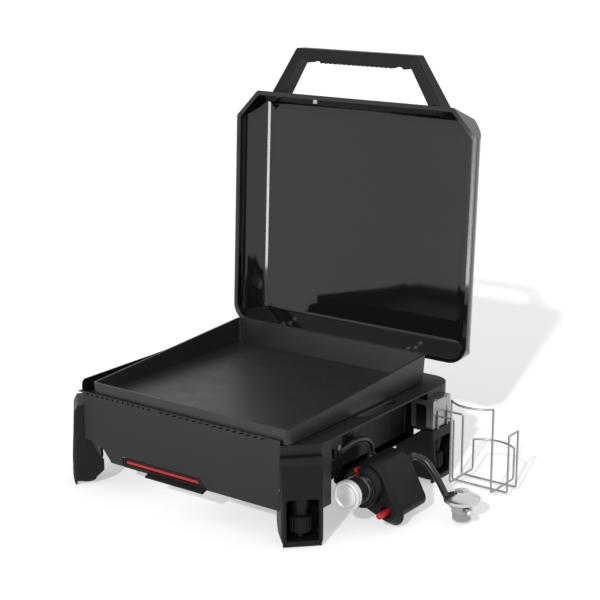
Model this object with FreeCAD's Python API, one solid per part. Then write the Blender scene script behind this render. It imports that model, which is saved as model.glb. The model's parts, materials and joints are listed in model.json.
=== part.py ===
import FreeCAD, Part
import os
from math import atan, atan2, cos, pi, radians, sin, sqrt, tan

V = FreeCAD.Vector
X_AXIS = V(1, 0, 0)
Y_AXIS = V(0, 1, 0)
Z_AXIS = V(0, 0, 1)

# A table-top gas griddle with its lid open. Millimetres, +Z up, front towards -Y.
# The model is drawn about the middle of the housing and moved to its base centre at the end.

# Housing; its width follows from the plate and the margins beside it
BODY_DEPTH = 469.0
RIM_Z = 170.0              # top of the vent rim
PANEL_BOTTOM_Z = 57.0
HOUSING_WALL = 2.5
RIM_SHEET = 3.0
FRONT_CHAMFER = 47.5       # legs of the 45 degree front corners
REAR_CORNER_R = 40.0
FIT = 0.3                  # clearance between neighbouring bodies
SIDE_OPENING_FRONT = -158.0
SIDE_OPENING_REAR = 143.0

# Griddle plate
PLATE_WIDTH = 432.0        # 17 inch cooking width
PLATE_DEPTH = 419.4
PLATE_LEFT_MARGIN = 68.0    # rim left of the plate, where the wind guard stands
PLATE_RIGHT_MARGIN = 32.0
PLATE_FRONT_MARGIN = 3.3
PLATE_THICKNESS = 4.0
PLATE_WALL = 3.5
PLATE_FRONT_LIP = 22.0     # above the cooking surface
PLATE_REAR_WALL = 47.3
PLATE_TAPER = 2.5          # how much narrower the pan is at its floor
PLATE_CORNER_R = 6.0
REST_HEIGHT = 1.5
REST_INSET = 70.0          # of the rests from the plate's front and back
LEDGE = 16.0               # rim that carries the plate
DRAIN_LENGTH = 42.0
DRAIN_WIDTH = 7.0
DRAIN_FROM_LEFT = 92.0

# Vents in the rim
HOLE_R = 2.2
HOLE_PITCH = 12.0
HOLE_COUNT = 13
SLOT_LENGTH = 9.0
SLOT_WIDTH = 2.4
SLOT_PITCH = 14.5
SLOT_COUNT = 16
SIDE_SLOT_PITCH = 12.0
SIDE_SLOT_FRONT = 13        # slots in front of the notch and behind it
SIDE_SLOT_REAR = 9
STRIP_HEIGHT = 8.5
STRIP_SHEET = 2.0
NOTCH_LENGTH = 118.0
NOTCH_WIDTH = 17.0
NOTCH_Y = 14.0

# Wind guard on the left of the rim
GUARD_INSET = 40.0         # from the housing's left side
GUARD_HEIGHT = 26.0
GUARD_SHEET = 2.0
GUARD_FOOT = 14.0
GUARD_LENGTH = 400.0
GUARD_CORNER_R = 9.0

# Firebox, burner and what is under the plate
BOX_SHEET = 1.5
BOX_LEFT_GAP = 61.0        # between firebox and housing
BOX_RIGHT_GAP = 44.0
BOX_FRONT = 212.0
BOX_REAR = 188.0
BOX_FLOOR_Z = 84.0
BOX_CORNER_R = 46.0
BURNER_R = 12.5
BURNER_WALL = 1.2
BURNER_Z = 120.0
BURNER_Y = -138.0          # its front run
BURNER_PITCH = 200.0
BURNER_LEFT = -85.0        # where the straight runs end
PORT_R = 1.6
PORT_PITCH = 25.0
SHIELD_SHEET = 1.5
SHIELD_SIDE = 60.0         # setback of the heat shield from the housing's sides
SHIELD_FRONT = 160.0
SHIELD_REAR = 40.0
CLIP_LEFT = 145.0          # burner clips from the firebox's ends
CLIP_RIGHT = 112.0

# Legs
LEG_WIDTH = 70.0
LEG_HEIGHT = 152.0
LEG_WALL = 3.0
LEG_TOP_REACH = 10.0       # outward of the housing at the top
LEG_FOOT_REACH = 21.0      # outward of the housing at the foot
LEG_WING = 34.0            # inward under the housing
LEG_WING_Z = 96.0
REAR_WING = 58.0
REAR_WING_Z = 104.0
LEG_CLEARANCE_Z = 2.0
LEG_EDGE_R = 9.0
REAR_LEG_Y = 166.5
WINDOW_WIDTH = 54.0
WINDOW_BOTTOM_Z = 12.0
WINDOW_TOP_Z = 83.0
WHEEL_R = 20.0
WHEEL_HEIGHT = 27.0
WHEEL_Z = 23.5
WHEEL_RIBS = 20
STEM_R = 5.0
STEM_FIT = 0.05
BOSS_R = 16.0
NICHE_DEPTH = 29.0         # of the wheel's niche, inward
NICHE_FLOOR_Z = 9.5
NICHE_SHEET = 2.5
PAD_R = 17.0
PAD_HEIGHT = 6.0
FOOT_TRAVEL = 10.0
SCREW_R = 2.5
SCREW_HEAD_R = 4.5

# Grease tray
TRAY_LEFT = -125.0
TRAY_RIGHT_TOP = 49.0
TRAY_RIGHT_FOOT = 66.0
TRAY_TOP_Z = 73.0
TRAY_DEPTH = 150.0
TRAY_SHEET = 1.5
TRAY_GAP = 1.5
TRAY_TRAVEL = 120.0
SCOOP_WIDTH = 62.0         # finger recess in the front panel
STRIPE_HEIGHT = 4.5

# Lid, drawn closed and swung open about its hinge
LID_SIDE_OVERHANG = 6.0
LID_FRONT_OVERHANG = 14.9
LID_REAR_SETBACK = 12.5
LID_GAP = 2.0              # over the rim when closed
LID_HEIGHT = 56.0
LID_WALL = 2.0
LID_SIDE_R = 54.0
LID_END_SLOPE = 25.0
LID_END_R = 8.0
LID_CHAMFER_X = 50.0
LID_CHAMFER_Y = 52.0
LID_REAR_R = 37.0
LID_CORNER_LEAN = 0.15     # how fast the corners fall in towards the top
LID_LIP = 8.0
LID_LIP_HEIGHT = 3.0
CATCH_X = -89.0
CATCH_WIDTH = 9.0
CATCH_REACH = 10.5         # how far the catch stands off the lid's wall
OPEN_ANGLE = 92.4
HINGE_BEHIND = 16.0        # pin behind the housing's rear wall
HINGE_Z = 160.0
HINGE_X = 148.0
HINGE_WIDTH = 26.0
HINGE_SHEET = 3.0
PIN_R = 3.0
PIN_FIT = 0.05
KNUCKLE_R = 6.5
KNUCKLE_GAP = 0.5

# Handle
HANDLE_REACH = 87.0
HANDLE_TOP_HALF = 134.5
HANDLE_FOOT_HALF = 190.0
HANDLE_TOP_BAR = 22.0
HANDLE_INNER_TOP_HALF = 125.0
HANDLE_INNER_FOOT_HALF = 165.0
HANDLE_FOOT_DEPTH = 38.0
HANDLE_BAR_DEPTH = 31.0
HANDLE_RAISE = 5.0         # above the lid's rim plane
HANDLE_SCREWS = (6.5, 16.0)  # in from the foot's end
GRIP_LENGTH = 230.0
GRIP_TEETH = 16
TOOTH_PITCH = 10.4
TOOTH_BASE = 6.5
TOOTH_HEIGHT = 3.6
GRIP_BUMP_X = 109.0        # larger bump near each end of the grip
GRIP_BUMP_R = 4.4

# Control module, its axis along Y
MODULE_OUT = 19.0          # axis outward of the housing's side
MODULE_Y = -104.0          # front of the collar
MODULE_Z = 70.0
MODULE_REAR = 11.5
MODULE_R = 38.0
MODULE_WALL = 2.5
COLLAR_R = 34.5
FLANGE_Y = -84.5           # front of the cover's flange
FLANGE_THICKNESS = 18.0
LOBE_OUT = 42.0            # lobe at the flange's front, from the axis
LOBE_Z = 32.0
LOBE_R = 17.0
LOBE_REAR_OUT = 44.0       # lobe at the flange's back
LOBE_REAR_Z = 24.0
LOBE_REAR_R = 21.0
CASE_LOBE_OUT = 47.6       # lobe of the case behind
CASE_LOBE_Z = 30.6
CASE_LOBE_R = 14.4
WELL_R = 29.0
WELL_DEPTH = 7.0
BEZEL_WALL = 2.4
KNOB_R = 25.2
KNOB_WAIST_R = 22.6
KNOB_LENGTH = 43.5
KNOB_CAP = 13.0
KNOB_RIM = 8.0
KNOB_TRAVEL = 3.5
KNOB_TURN = 100.0
KNOB_BACK = MODULE_Y + 2.5
SHAFT_R = 4.0
BUTTON_R = 5.6
BUTTON_LENGTH = 38.0
BUTTON_TRAVEL = 6.0
BUTTON_TIP_Y = FLANGE_Y - 25.0
RECESS_R = 10.5
RECESS_DEPTH = 9.0
IGNITER_R = 8.5
VALVE_R = 9.0
VALVE_PIPE_R = 5.0
MARK_WIDTH = 5.8           # red index mark on the collar
MARK_ANGLE = 13.0          # left of its top
MARK_LENGTH = 12.0
HANGER_SHEET = 2.0

# Cylinder bracket and basket
BRACKET_SHEET = 2.0
BRACKET_OUT = 14.0         # outward of the housing's side
BRACKET_Y = 139.5
BRACKET_LENGTH = 60.0
BRACKET_HEIGHT = 53.0
BRACKET_FRONT = 46.0
KEY_PITCH = 33.0
KEY_DROP = 26.0            # below the bracket's top
KEY_R = 3.0
KEY_HEIGHT = 13.0
WIRE_R = 1.8
BASKET_Z = 15.0
BASKET_IN = 44.0           # gap from the bracket to the near wires
BASKET_SIDE = 83.0
BASKET_FRONT_Z = 169.0
BASKET_REAR_Z = 72.0
BASKET_STOP_Z = 117.0
BASKET_BOW = 18.0
RAIL_END = 19.0
HOOK_DEPTH = 6.0
BASKET_LIFT = 6.0
HOOK_TAIL = 24.0           # wire end that bears on the bracket's face

# Hoses and regulator
HOSE_D = 12.0
REGULATOR_OUT = 129.0      # axis from the module's axis
REGULATOR_Y = 14.5
DOME_R = 31.5
DOME_Z = 41.0              # underside of the dome
VENT_WAY = V(0.8, -0.6, 0)
PROBE_R = 3.1
NUT_R = 15.0
NUT_Z = 7.5
NUT_RIBS = 18
THREAD_R = 12.7            # half of the 1 inch valve thread

LEG_NAMES = ("front_right", "front_left", "rear_right", "rear_left")

# Derived places
BODY_WIDTH = PLATE_LEFT_MARGIN + PLATE_WIDTH + PLATE_RIGHT_MARGIN
BODY_X = BODY_WIDTH / 2
BODY_Y = BODY_DEPTH / 2
RIM_UNDER = RIM_Z - RIM_SHEET
PLATE_X = BODY_X - PLATE_RIGHT_MARGIN - PLATE_WIDTH / 2
PLATE_Y = -BODY_Y + PLATE_FRONT_MARGIN + PLATE_DEPTH / 2
PLATE_UNDER = RIM_Z + REST_HEIGHT
PLATE_FLOOR = PLATE_UNDER + PLATE_THICKNESS
HINGE_Y = BODY_Y + HINGE_BEHIND
LID_RIM_Z = RIM_Z + LID_GAP
LID_FRONT_Y = -BODY_Y - LID_FRONT_OVERHANG
LID_REAR_Y = BODY_Y - LID_REAR_SETBACK
LID_X = BODY_X + LID_SIDE_OVERHANG
GUARD_X = -BODY_X + GUARD_INSET
BOX_LEFT = BODY_X - BOX_LEFT_GAP
BOX_RIGHT = BODY_X - BOX_RIGHT_GAP
WHEEL_AXIS = LEG_FOOT_REACH - LEG_WALL - WHEEL_R - 0.8
MODULE_X = BODY_X + MODULE_OUT
LOBE_X = MODULE_X + LOBE_OUT
LOBE_REAR_X = MODULE_X + LOBE_REAR_OUT
CASE_LOBE_X = MODULE_X + CASE_LOBE_OUT
BRACKET_X = BODY_X + BRACKET_OUT
BRACKET_TOP_Z = LEG_HEIGHT + BRACKET_SHEET
BRACKET_BOTTOM_Z = BRACKET_TOP_Z - BRACKET_HEIGHT
KEY_Z = BRACKET_TOP_Z - KEY_DROP
REGULATOR_X = MODULE_X + REGULATOR_OUT
GAS_INLET = (MODULE_X - 45.5, 1.5, 80.0)
HOSE_OUTLET = (MODULE_X + 20.0, 19.0, 91.5)
HOSE_INLET = (REGULATOR_X - 26.0, 21.0, 30.5)


def box(x0, x1, y0, y1, z0, z1):
    """A block between two corners."""
    return Part.makeBox(x1 - x0, y1 - y0, z1 - z0, V(x0, y0, z0))


def rod(base, axis, radius, length):
    """A round bar from base along axis."""
    return Part.makeCylinder(radius, length, V(*base), axis)


def cone(base, axis, radius, end_radius, length):
    """A round bar whose radius changes evenly."""
    return Part.makeCone(radius, end_radius, length, V(*base), axis)


def tube(base, axis, radius, wall, length):
    """A round pipe."""
    bore_start = V(*base) - axis * 1.0
    return rod(base, axis, radius, length).cut(
        Part.makeCylinder(radius - wall, length + 2.0, bore_start, axis))


def outline(points, radii=0.0):
    """A closed flat wire through points, each corner rounded by its radius."""
    count = len(points)
    if not isinstance(radii, (list, tuple)):
        radii = [radii] * count
    starts, ends, mids = [], [], []
    for i, point in enumerate(points):
        corner = V(*point)
        before = V(*points[i - 1]) - corner
        after = V(*points[(i + 1) % count]) - corner
        before.normalize()
        after.normalize()
        half = before.getAngle(after) / 2
        r = radii[i]
        if r <= 0:
            starts.append(corner)
            ends.append(corner)
            mids.append(None)
            continue
        reach = r / tan(half)
        inward = before + after
        inward.normalize()
        starts.append(corner + before * reach)
        ends.append(corner + after * reach)
        mids.append(corner + inward * (r / sin(half) - r))
    edges = []
    for i in range(count):
        if mids[i] is not None:
            edges.append(Part.Arc(starts[i], mids[i], ends[i]).toShape())
        following = starts[(i + 1) % count]
        if (following - ends[i]).Length > 1e-6:
            edges.append(Part.LineSegment(ends[i], following).toShape())
    return Part.Wire(edges)


def prism_z(points, z0, z1, radii=0.0):
    """A plan outline of (x, y) points raised from z0 to z1."""
    wire = outline([(x, y, z0) for x, y in points], radii)
    return Part.Face(wire).extrude(V(0, 0, z1 - z0))


def prism_y(points, y0, y1, radii=0.0):
    """A front outline of (x, z) points pushed from y0 to y1."""
    wire = outline([(x, y0, z) for x, z in points], radii)
    return Part.Face(wire).extrude(V(0, y1 - y0, 0))


def prism_x(points, x0, x1, radii=0.0):
    """A side outline of (y, z) points pushed from x0 to x1."""
    wire = outline([(x0, y, z) for y, z in points], radii)
    return Part.Face(wire).extrude(V(x1 - x0, 0, 0))


def fuse(shapes):
    """One solid from touching shapes."""
    joined = shapes[0].multiFuse(shapes[1:])
    return joined.removeSplitter()


def group(shapes):
    """Separate solids kept together as one sub-part."""
    return Part.Compound(shapes)


def turned(shape, base, axis, angle):
    """A copy turned about an axis."""
    copy = shape.copy()
    copy.rotate(V(*base), axis, angle)
    return copy


def moved(shape, x, y, z):
    """A copy shifted."""
    copy = shape.copy()
    copy.translate(V(x, y, z))
    return copy


def bend_path(points, radii):
    """Straight runs joined by tangent arcs, as a wire."""
    edges = []
    at = V(*points[0])
    for i in range(1, len(points) - 1):
        corner = V(*points[i])
        before = V(*points[i - 1]) - corner
        after = V(*points[i + 1]) - corner
        before.normalize()
        after.normalize()
        half = before.getAngle(after) / 2
        reach = radii[i - 1] / tan(half)
        inward = before + after
        inward.normalize()
        start = corner + before * reach
        end = corner + after * reach
        mid = corner + inward * (radii[i - 1] / sin(half) - radii[i - 1])
        if (start - at).Length > 1e-6:
            edges.append(Part.LineSegment(at, start).toShape())
        edges.append(Part.Arc(start, mid, end).toShape())
        at = end
    edges.append(Part.LineSegment(at, V(*points[-1])).toShape())
    return Part.Wire(edges)


def sweep(path, radius):
    """A round section pushed along a wire."""
    first = path.OrderedEdges[0]
    start = first.valueAt(first.FirstParameter)
    along = first.tangentAt(first.FirstParameter)
    if first.Orientation == "Reversed":
        start = first.valueAt(first.LastParameter)
        along = first.tangentAt(first.LastParameter) * -1
    ring = Part.Wire([Part.Circle(start, along, radius).toShape()])
    return path.makePipeShell([ring], True, False)


def free_radii(points):
    """The largest tangent arcs that the runs of a free hose allow."""
    radii = []
    for i in range(1, len(points) - 1):
        corner = V(*points[i])
        before = V(*points[i - 1]) - corner
        after = V(*points[i + 1]) - corner
        turn = pi - before.getAngle(after)
        radii.append(0.45 * min(before.Length, after.Length) / tan(turn / 2))
    return radii


# Housing

def body_outline(inset=0.0):
    """Plan of the housing: chamfered in front, rounded behind."""
    x = BODY_X - inset
    y = BODY_Y - inset
    c = FRONT_CHAMFER - inset * (2 - sqrt(2))
    points = [(-x + c, -y), (x - c, -y), (x, -y + c), (x, y), (-x, y), (-x, -y + c)]
    rear = REAR_CORNER_R - inset
    return points, [4.0, 4.0, 4.0, rear, rear, 4.0]


def drum_outline(inset=0.0):
    """Plan of the firebox."""
    points = [(-BOX_LEFT + inset, -BOX_FRONT + inset), (BOX_RIGHT - inset, -BOX_FRONT + inset),
              (BOX_RIGHT - inset, BOX_REAR - inset), (-BOX_LEFT + inset, BOX_REAR - inset)]
    return points, [12.0 - inset, 12.0 - inset, BOX_CORNER_R - inset, BOX_CORNER_R - inset]


def tray_front_outline(grow=0.0):
    """Front view of the grease tray's opening."""
    return [(TRAY_LEFT - grow, PANEL_BOTTOM_Z - 1.0 - grow), (TRAY_RIGHT_FOOT + grow, PANEL_BOTTOM_Z - 1.0 - grow),
            (TRAY_RIGHT_TOP + grow * 0.4, TRAY_TOP_Z + grow), (TRAY_LEFT - grow, TRAY_TOP_Z + grow)]


def make_body_shell():
    points, radii = body_outline()
    outer = prism_z(points, PANEL_BOTTOM_Z, RIM_UNDER, radii)
    points, radii = body_outline(HOUSING_WALL)
    inner = prism_z(points, PANEL_BOTTOM_Z - 1, RIM_UNDER + 1, radii)
    shell = outer.cut(inner)
    opening = box(BODY_X - 20, BODY_X + 5, SIDE_OPENING_FRONT, SIDE_OPENING_REAR,
                  PANEL_BOTTOM_Z - 1, RIM_UNDER + 1)
    tray = prism_y(tray_front_outline(TRAY_GAP), -BODY_Y - 5, -BODY_Y + HOUSING_WALL + 5)
    scoop_x = -BODY_X + FRONT_CHAMFER + 4.0
    scoop = prism_y([(scoop_x, PANEL_BOTTOM_Z - 1), (scoop_x + SCOOP_WIDTH, PANEL_BOTTOM_Z - 1),
                     (scoop_x + SCOOP_WIDTH - 22, PANEL_BOTTOM_Z + 24), (scoop_x, PANEL_BOTTOM_Z + 33)],
                    -BODY_Y - 5, -BODY_Y + HOUSING_WALL + 5, [0, 2, 18, 0])
    notches = []
    for name in LEG_NAMES:
        wing, wing_z = leg_wing(name)
        notch = box(-wing - 1, 4, -LEG_WIDTH / 2 - 0.5, LEG_WIDTH / 2 + 0.5, PANEL_BOTTOM_Z - 1, wing_z + 1)
        notches.append(put_leg(notch, name))
    return shell.cut([opening, tray, scoop] + notches)


def slot_tool(x, y, length, width, angle, z0, z1):
    """A cutter for a rounded slot in the rim's flat."""
    half = length / 2 - width / 2
    body = box(-half, half, -width / 2, width / 2, z0, z1)
    ends = [rod((-half, 0, z0), Z_AXIS, width / 2, z1 - z0), rod((half, 0, z0), Z_AXIS, width / 2, z1 - z0)]
    tool = body.multiFuse(ends)
    tool.rotate(V(0, 0, 0), Z_AXIS, angle)
    tool.translate(V(x, y, 0))
    return tool


def make_vent_rim():
    points, radii = body_outline()
    sheet = prism_z(points, RIM_UNDER, RIM_Z, radii)
    half_x = PLATE_WIDTH / 2 - LEDGE
    half_y = PLATE_DEPTH / 2 - LEDGE
    sheet = sheet.cut(prism_z([(PLATE_X - half_x, PLATE_Y - half_y), (PLATE_X + half_x, PLATE_Y - half_y),
                               (PLATE_X + half_x, PLATE_Y + half_y), (PLATE_X - half_x, PLATE_Y + half_y)],
                              RIM_UNDER - 1, RIM_Z + 1, 10.0))
    x0 = -BODY_X + FRONT_CHAMFER
    x1 = BODY_X - FRONT_CHAMFER
    strip = box(x0, x1, -BODY_Y, -BODY_Y + STRIP_SHEET, RIM_Z - 1.0, RIM_Z + STRIP_HEIGHT)
    sheet = fuse([sheet, strip])
    cutters = []
    edge = PLATE_X + PLATE_WIDTH / 2
    for side in (1, -1):
        x = edge + 5.5 if side > 0 else PLATE_X - PLATE_WIDTH / 2 - 5.5
        front = [NOTCH_Y - NOTCH_LENGTH / 2 - 4.5 - i * SIDE_SLOT_PITCH for i in range(SIDE_SLOT_FRONT)]
        rear = [NOTCH_Y + NOTCH_LENGTH / 2 + 17.5 + i * SIDE_SLOT_PITCH for i in range(SIDE_SLOT_REAR)]
        for y in front + rear:
            cutters.append(slot_tool(x, y, SLOT_LENGTH, SLOT_WIDTH, side * 28, RIM_UNDER - 1, RIM_Z + 1))
    sheet = sheet.cut(cutters)
    hole_z = RIM_Z + STRIP_HEIGHT / 2 + 0.5
    holes = []
    for i in range(HOLE_COUNT):
        holes.append(rod((x0 + 12 + i * HOLE_PITCH, -BODY_Y - 1, hole_z), Y_AXIS, HOLE_R, STRIP_SHEET + 2))
    slot_x = x0 + 12 + HOLE_COUNT * HOLE_PITCH + 16
    for i in range(SLOT_COUNT):
        x = slot_x + i * SLOT_PITCH
        lean = 1.2
        half = SLOT_LENGTH / 2
        holes.append(prism_y([(x - half, hole_z - lean - 1.1), (x + half, hole_z + lean - 1.1),
                              (x + half, hole_z + lean + 1.1), (x - half, hole_z - lean + 1.1)],
                             -BODY_Y - 1, -BODY_Y + STRIP_SHEET + 1, 0.9))
    sheet = sheet.cut(holes)
    notch_y = NOTCH_Y
    near = edge + 2.5
    far = near + NOTCH_WIDTH
    notch = prism_z([(near, notch_y - NOTCH_LENGTH / 2), (far, notch_y - NOTCH_LENGTH / 2 + 16),
                     (far, notch_y + NOTCH_LENGTH / 2 - 16), (near, notch_y + NOTCH_LENGTH / 2)],
                    RIM_UNDER - 1, RIM_Z + 1, 2.0)
    return sheet.cut(notch)


def make_wind_guard():
    y0 = -BODY_Y + 8.0
    y1 = y0 + GUARD_LENGTH
    wall = prism_x([(y0, RIM_Z), (y1, RIM_Z), (y1, RIM_Z + GUARD_HEIGHT), (y0, RIM_Z + GUARD_HEIGHT)],
                   GUARD_X - GUARD_SHEET / 2, GUARD_X + GUARD_SHEET / 2,
                   [0, 0, GUARD_CORNER_R, GUARD_CORNER_R])
    foot = box(GUARD_X - GUARD_FOOT, GUARD_X, y0 + 4, y1 - 4, RIM_Z, RIM_Z + GUARD_SHEET)
    guard = fuse([wall, foot])
    screws = []
    for y in (y0 + 14, (y0 + y1) / 2, y1 - 14):
        guard = guard.cut(rod((GUARD_X - GUARD_FOOT / 2 - 1, y, RIM_Z - 1), Z_AXIS, SCREW_R + 0.4, 6))
        screws.append((GUARD_X - GUARD_FOOT / 2 - 1, y))
    return guard, screws


def screw(base, axis, shank=6.0, head=2.2):
    """A pan-head screw whose head sits on base and whose shank goes back along -axis."""
    start = V(*base) - axis * shank
    body = Part.makeCylinder(SCREW_R, shank, start, axis)
    cap = Part.makeCylinder(SCREW_HEAD_R, head * 0.55, V(*base), axis)
    dome = Part.makeCone(SCREW_HEAD_R, SCREW_HEAD_R * 0.55, head * 0.45, V(*base) + axis * head * 0.55, axis)
    return body.multiFuse([cap, dome]).removeSplitter()


def make_plate():
    half_x = PLATE_WIDTH / 2
    half_y = PLATE_DEPTH / 2
    top = PLATE_UNDER + PLATE_THICKNESS + PLATE_REAR_WALL
    front = PLATE_FLOOR + PLATE_FRONT_LIP

    def pan(inset, z0, z1):
        low, high = [], []
        for sx, sy in ((-1, -1), (1, -1), (1, 1), (-1, 1)):
            low.append((PLATE_X + sx * (half_x - PLATE_TAPER - inset), PLATE_Y + sy * (half_y - PLATE_TAPER - inset)))
            high.append((PLATE_X + sx * (half_x - inset), PLATE_Y + sy * (half_y - inset)))
        r = max(PLATE_CORNER_R - inset, 1.0)
        wires = [outline([(x, y, z0) for x, y in low], r), outline([(x, y, z1) for x, y in high], r)]
        return Part.makeLoft(wires, True, True)

    solid = pan(0.0, PLATE_UNDER, top).cut(pan(PLATE_WALL, PLATE_FLOOR, top + 0.01))
    # the side walls fall from the high back to the low front lip
    slope = prism_x([(PLATE_Y - half_y - 5, front), (PLATE_Y - half_y + 6, front), (PLATE_Y + half_y - 6, top),
                     (PLATE_Y + half_y - 6, top + 5), (PLATE_Y - half_y - 5, top + 5)],
                    PLATE_X - half_x - 5, PLATE_X + half_x + 5)
    solid = solid.cut(slope)
    drain_x = PLATE_X - half_x + DRAIN_FROM_LEFT
    drain = box(drain_x, drain_x + DRAIN_LENGTH, PLATE_Y - half_y + PLATE_WALL + 5,
                PLATE_Y - half_y + PLATE_WALL + 5 + DRAIN_WIDTH, PLATE_UNDER - 2, PLATE_FLOOR + 2)
    return solid.cut(drain)


def make_plate_rests():
    rests = []
    for sx in (-1, 1):
        for sy in (-1, 1):
            rests.append(rod((PLATE_X + sx * (PLATE_WIDTH / 2 - LEDGE / 2 - 2.5),
                              PLATE_Y + sy * (PLATE_DEPTH / 2 - REST_INSET), RIM_Z), Z_AXIS, LEDGE / 2 - 3.0, REST_HEIGHT))
    return group(rests)


def make_firebox():
    points, radii = drum_outline()
    outer = prism_z(points, BOX_FLOOR_Z, RIM_UNDER, radii)
    points, radii = drum_outline(BOX_SHEET)
    inner = prism_z(points, BOX_FLOOR_Z + BOX_SHEET, RIM_UNDER + 1, radii)
    box_shell = outer.cut(inner)
    drain_x = PLATE_X - PLATE_WIDTH / 2 + DRAIN_FROM_LEFT
    y0 = -BOX_FRONT + 6
    # chute that carries the grease through the firebox floor
    chute = box(drain_x - 4, drain_x + DRAIN_LENGTH + 4, y0, y0 + 20, TRAY_TOP_Z + 2.5, RIM_UNDER - 4)
    bore = box(drain_x - 2.5, drain_x + DRAIN_LENGTH + 2.5, y0 + 1.5, y0 + 18.5, TRAY_TOP_Z, RIM_UNDER)
    box_shell = fuse([box_shell, chute]).cut(bore)
    ribs = []
    for y in (83.0, 137.0):
        ribs.append(rod((BOX_RIGHT, y, BOX_FLOOR_Z), Z_AXIS, 1.6, RIM_UNDER - BOX_FLOOR_Z - 12))
    cuts = [rod((BOX_RIGHT - 20, BURNER_Y, BURNER_Z), X_AXIS, BURNER_R + 2.0, 40)]
    for i in range(7):
        for j in range(3):
            cuts.append(rod((-120 + i * 42, -40 + j * 70, BOX_FLOOR_Z - 1), Z_AXIS, 6.0, 5))
    return fuse([box_shell] + ribs).cut(cuts)


def make_heat_shield():
    half = BODY_X - SHIELD_SIDE
    back = BODY_Y - SHIELD_REAR
    sheet = box(-half, half, -BODY_Y + SHIELD_FRONT, back, PANEL_BOTTOM_Z, PANEL_BOTTOM_Z + SHIELD_SHEET)
    cuts = []
    for i in range(8):
        x = -half + 34 + i * 48
        cuts.append(slot_tool(x, 40, 120, 8, 90, PANEL_BOTTOM_Z - 1, PANEL_BOTTOM_Z + 3))
    sheet = sheet.cut(cuts)
    rear = box(-half, half, back, back + SHIELD_SHEET, PANEL_BOTTOM_Z, BOX_FLOOR_Z + 20)
    return fuse([sheet, rear])


def make_burner():
    """A U-shaped tube burner with its gas ports."""
    y0 = BURNER_Y
    y1 = BURNER_Y + BURNER_PITCH
    bend = BURNER_PITCH / 2
    entry = BOX_RIGHT - 12.0
    far = BOX_RIGHT - 52.0
    path = bend_path([(entry, y0, BURNER_Z), (BURNER_LEFT - bend, y0, BURNER_Z), (BURNER_LEFT - bend, y1, BURNER_Z),
                      (far, y1, BURNER_Z)], [bend - 0.01, bend - 0.01])
    outer = sweep(path, BURNER_R)
    inner = sweep(path, BURNER_R - BURNER_WALL)
    pipe = outer.cut(inner)
    cap = rod((far - 2, y1, BURNER_Z), X_AXIS, BURNER_R, 2)
    ports = []
    for y in (y0, y1):
        for i in range(int((far - BURNER_LEFT) / PORT_PITCH)):
            ports.append(rod((BURNER_LEFT + 12 + i * PORT_PITCH, y, BURNER_Z), Z_AXIS, PORT_R, 20))
    return fuse([pipe, cap]).cut(ports)


def make_burner_brackets():
    clips = []
    for x in (-BOX_LEFT + CLIP_LEFT, BOX_RIGHT - CLIP_RIGHT):
        for y in (BURNER_Y, BURNER_Y + BURNER_PITCH):
            foot = box(x - 8, x + 8, y - 14, y + 14, BOX_FLOOR_Z + BOX_SHEET, BURNER_Z - BURNER_R * 0.3)
            clips.append(foot.cut([rod((x - 9, y, BURNER_Z), X_AXIS, BURNER_R, 18),
                                   box(x - 9, x + 9, y - 12, y + 12, BOX_FLOOR_Z + 3, BURNER_Z - BURNER_R - 2)]))
    return group(clips)


def make_venturi():
    start = BOX_RIGHT - 12.0
    pipe = tube((start, BURNER_Y, BURNER_Z), X_AXIS, BURNER_R - BURNER_WALL, 1.0, 14.0)
    bell = cone((start + 14, BURNER_Y, BURNER_Z), X_AXIS, BURNER_R - BURNER_WALL, BURNER_R + 1, 6.0)
    bore = cone((start + 13.9, BURNER_Y, BURNER_Z), X_AXIS, BURNER_R - BURNER_WALL - 1.0, BURNER_R, 6.2)
    return fuse([pipe, bell.cut(bore)])


def make_orifice():
    """Jet that blows into the venturi, with an elbow for the hose."""
    x = BOX_RIGHT + 14.0
    jet = cone((x - 10, BURNER_Y, BURNER_Z), X_AXIS, 2.5, 5.0, 5.0)
    body = rod((x - 5, BURNER_Y, BURNER_Z), X_AXIS, 6.5, 12.0)
    elbow = rod((x, BURNER_Y, BURNER_Z), Y_AXIS, 5.5, 16.0)
    return fuse([jet, body, elbow]).cut(rod((x - 11, BURNER_Y, BURNER_Z), X_AXIS, 0.8, 8))


def make_electrode():
    y = BURNER_Y + 26
    x = 60.0
    insulator = rod((x, y, BOX_FLOOR_Z + BOX_SHEET), Z_AXIS, 4.5, 28)
    wire = bend_path([(x, y, BOX_FLOOR_Z + 29), (x, y, BURNER_Z + 9), (x, y - 8, BURNER_Z + 15)], [3.0])
    return fuse([insulator, sweep(wire, 1.2)])


# Legs

def leg_place(name):
    """Where a leg meets the housing, and the way it faces."""
    mid = FRONT_CHAMFER / 2
    places = {"front_right": (BODY_X - mid, -BODY_Y + mid, -45.0), "front_left": (-BODY_X + mid, -BODY_Y + mid, -135.0),
              "rear_right": (BODY_X, REAR_LEG_Y, 0.0), "rear_left": (-BODY_X, REAR_LEG_Y, 180.0)}
    return places[name]


def put_leg(shape, name):
    """Carry a piece drawn with the leg facing +X to its corner."""
    x, y, angle = leg_place(name)
    copy = turned(shape, (0, 0, 0), Z_AXIS, angle)
    return moved(copy, x, y, 0)


def leg_wing(name):
    """How far a leg's flanks reach under the housing, and how high."""
    if name.startswith("rear"):
        return REAR_WING, REAR_WING_Z
    return LEG_WING, LEG_WING_Z


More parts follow.
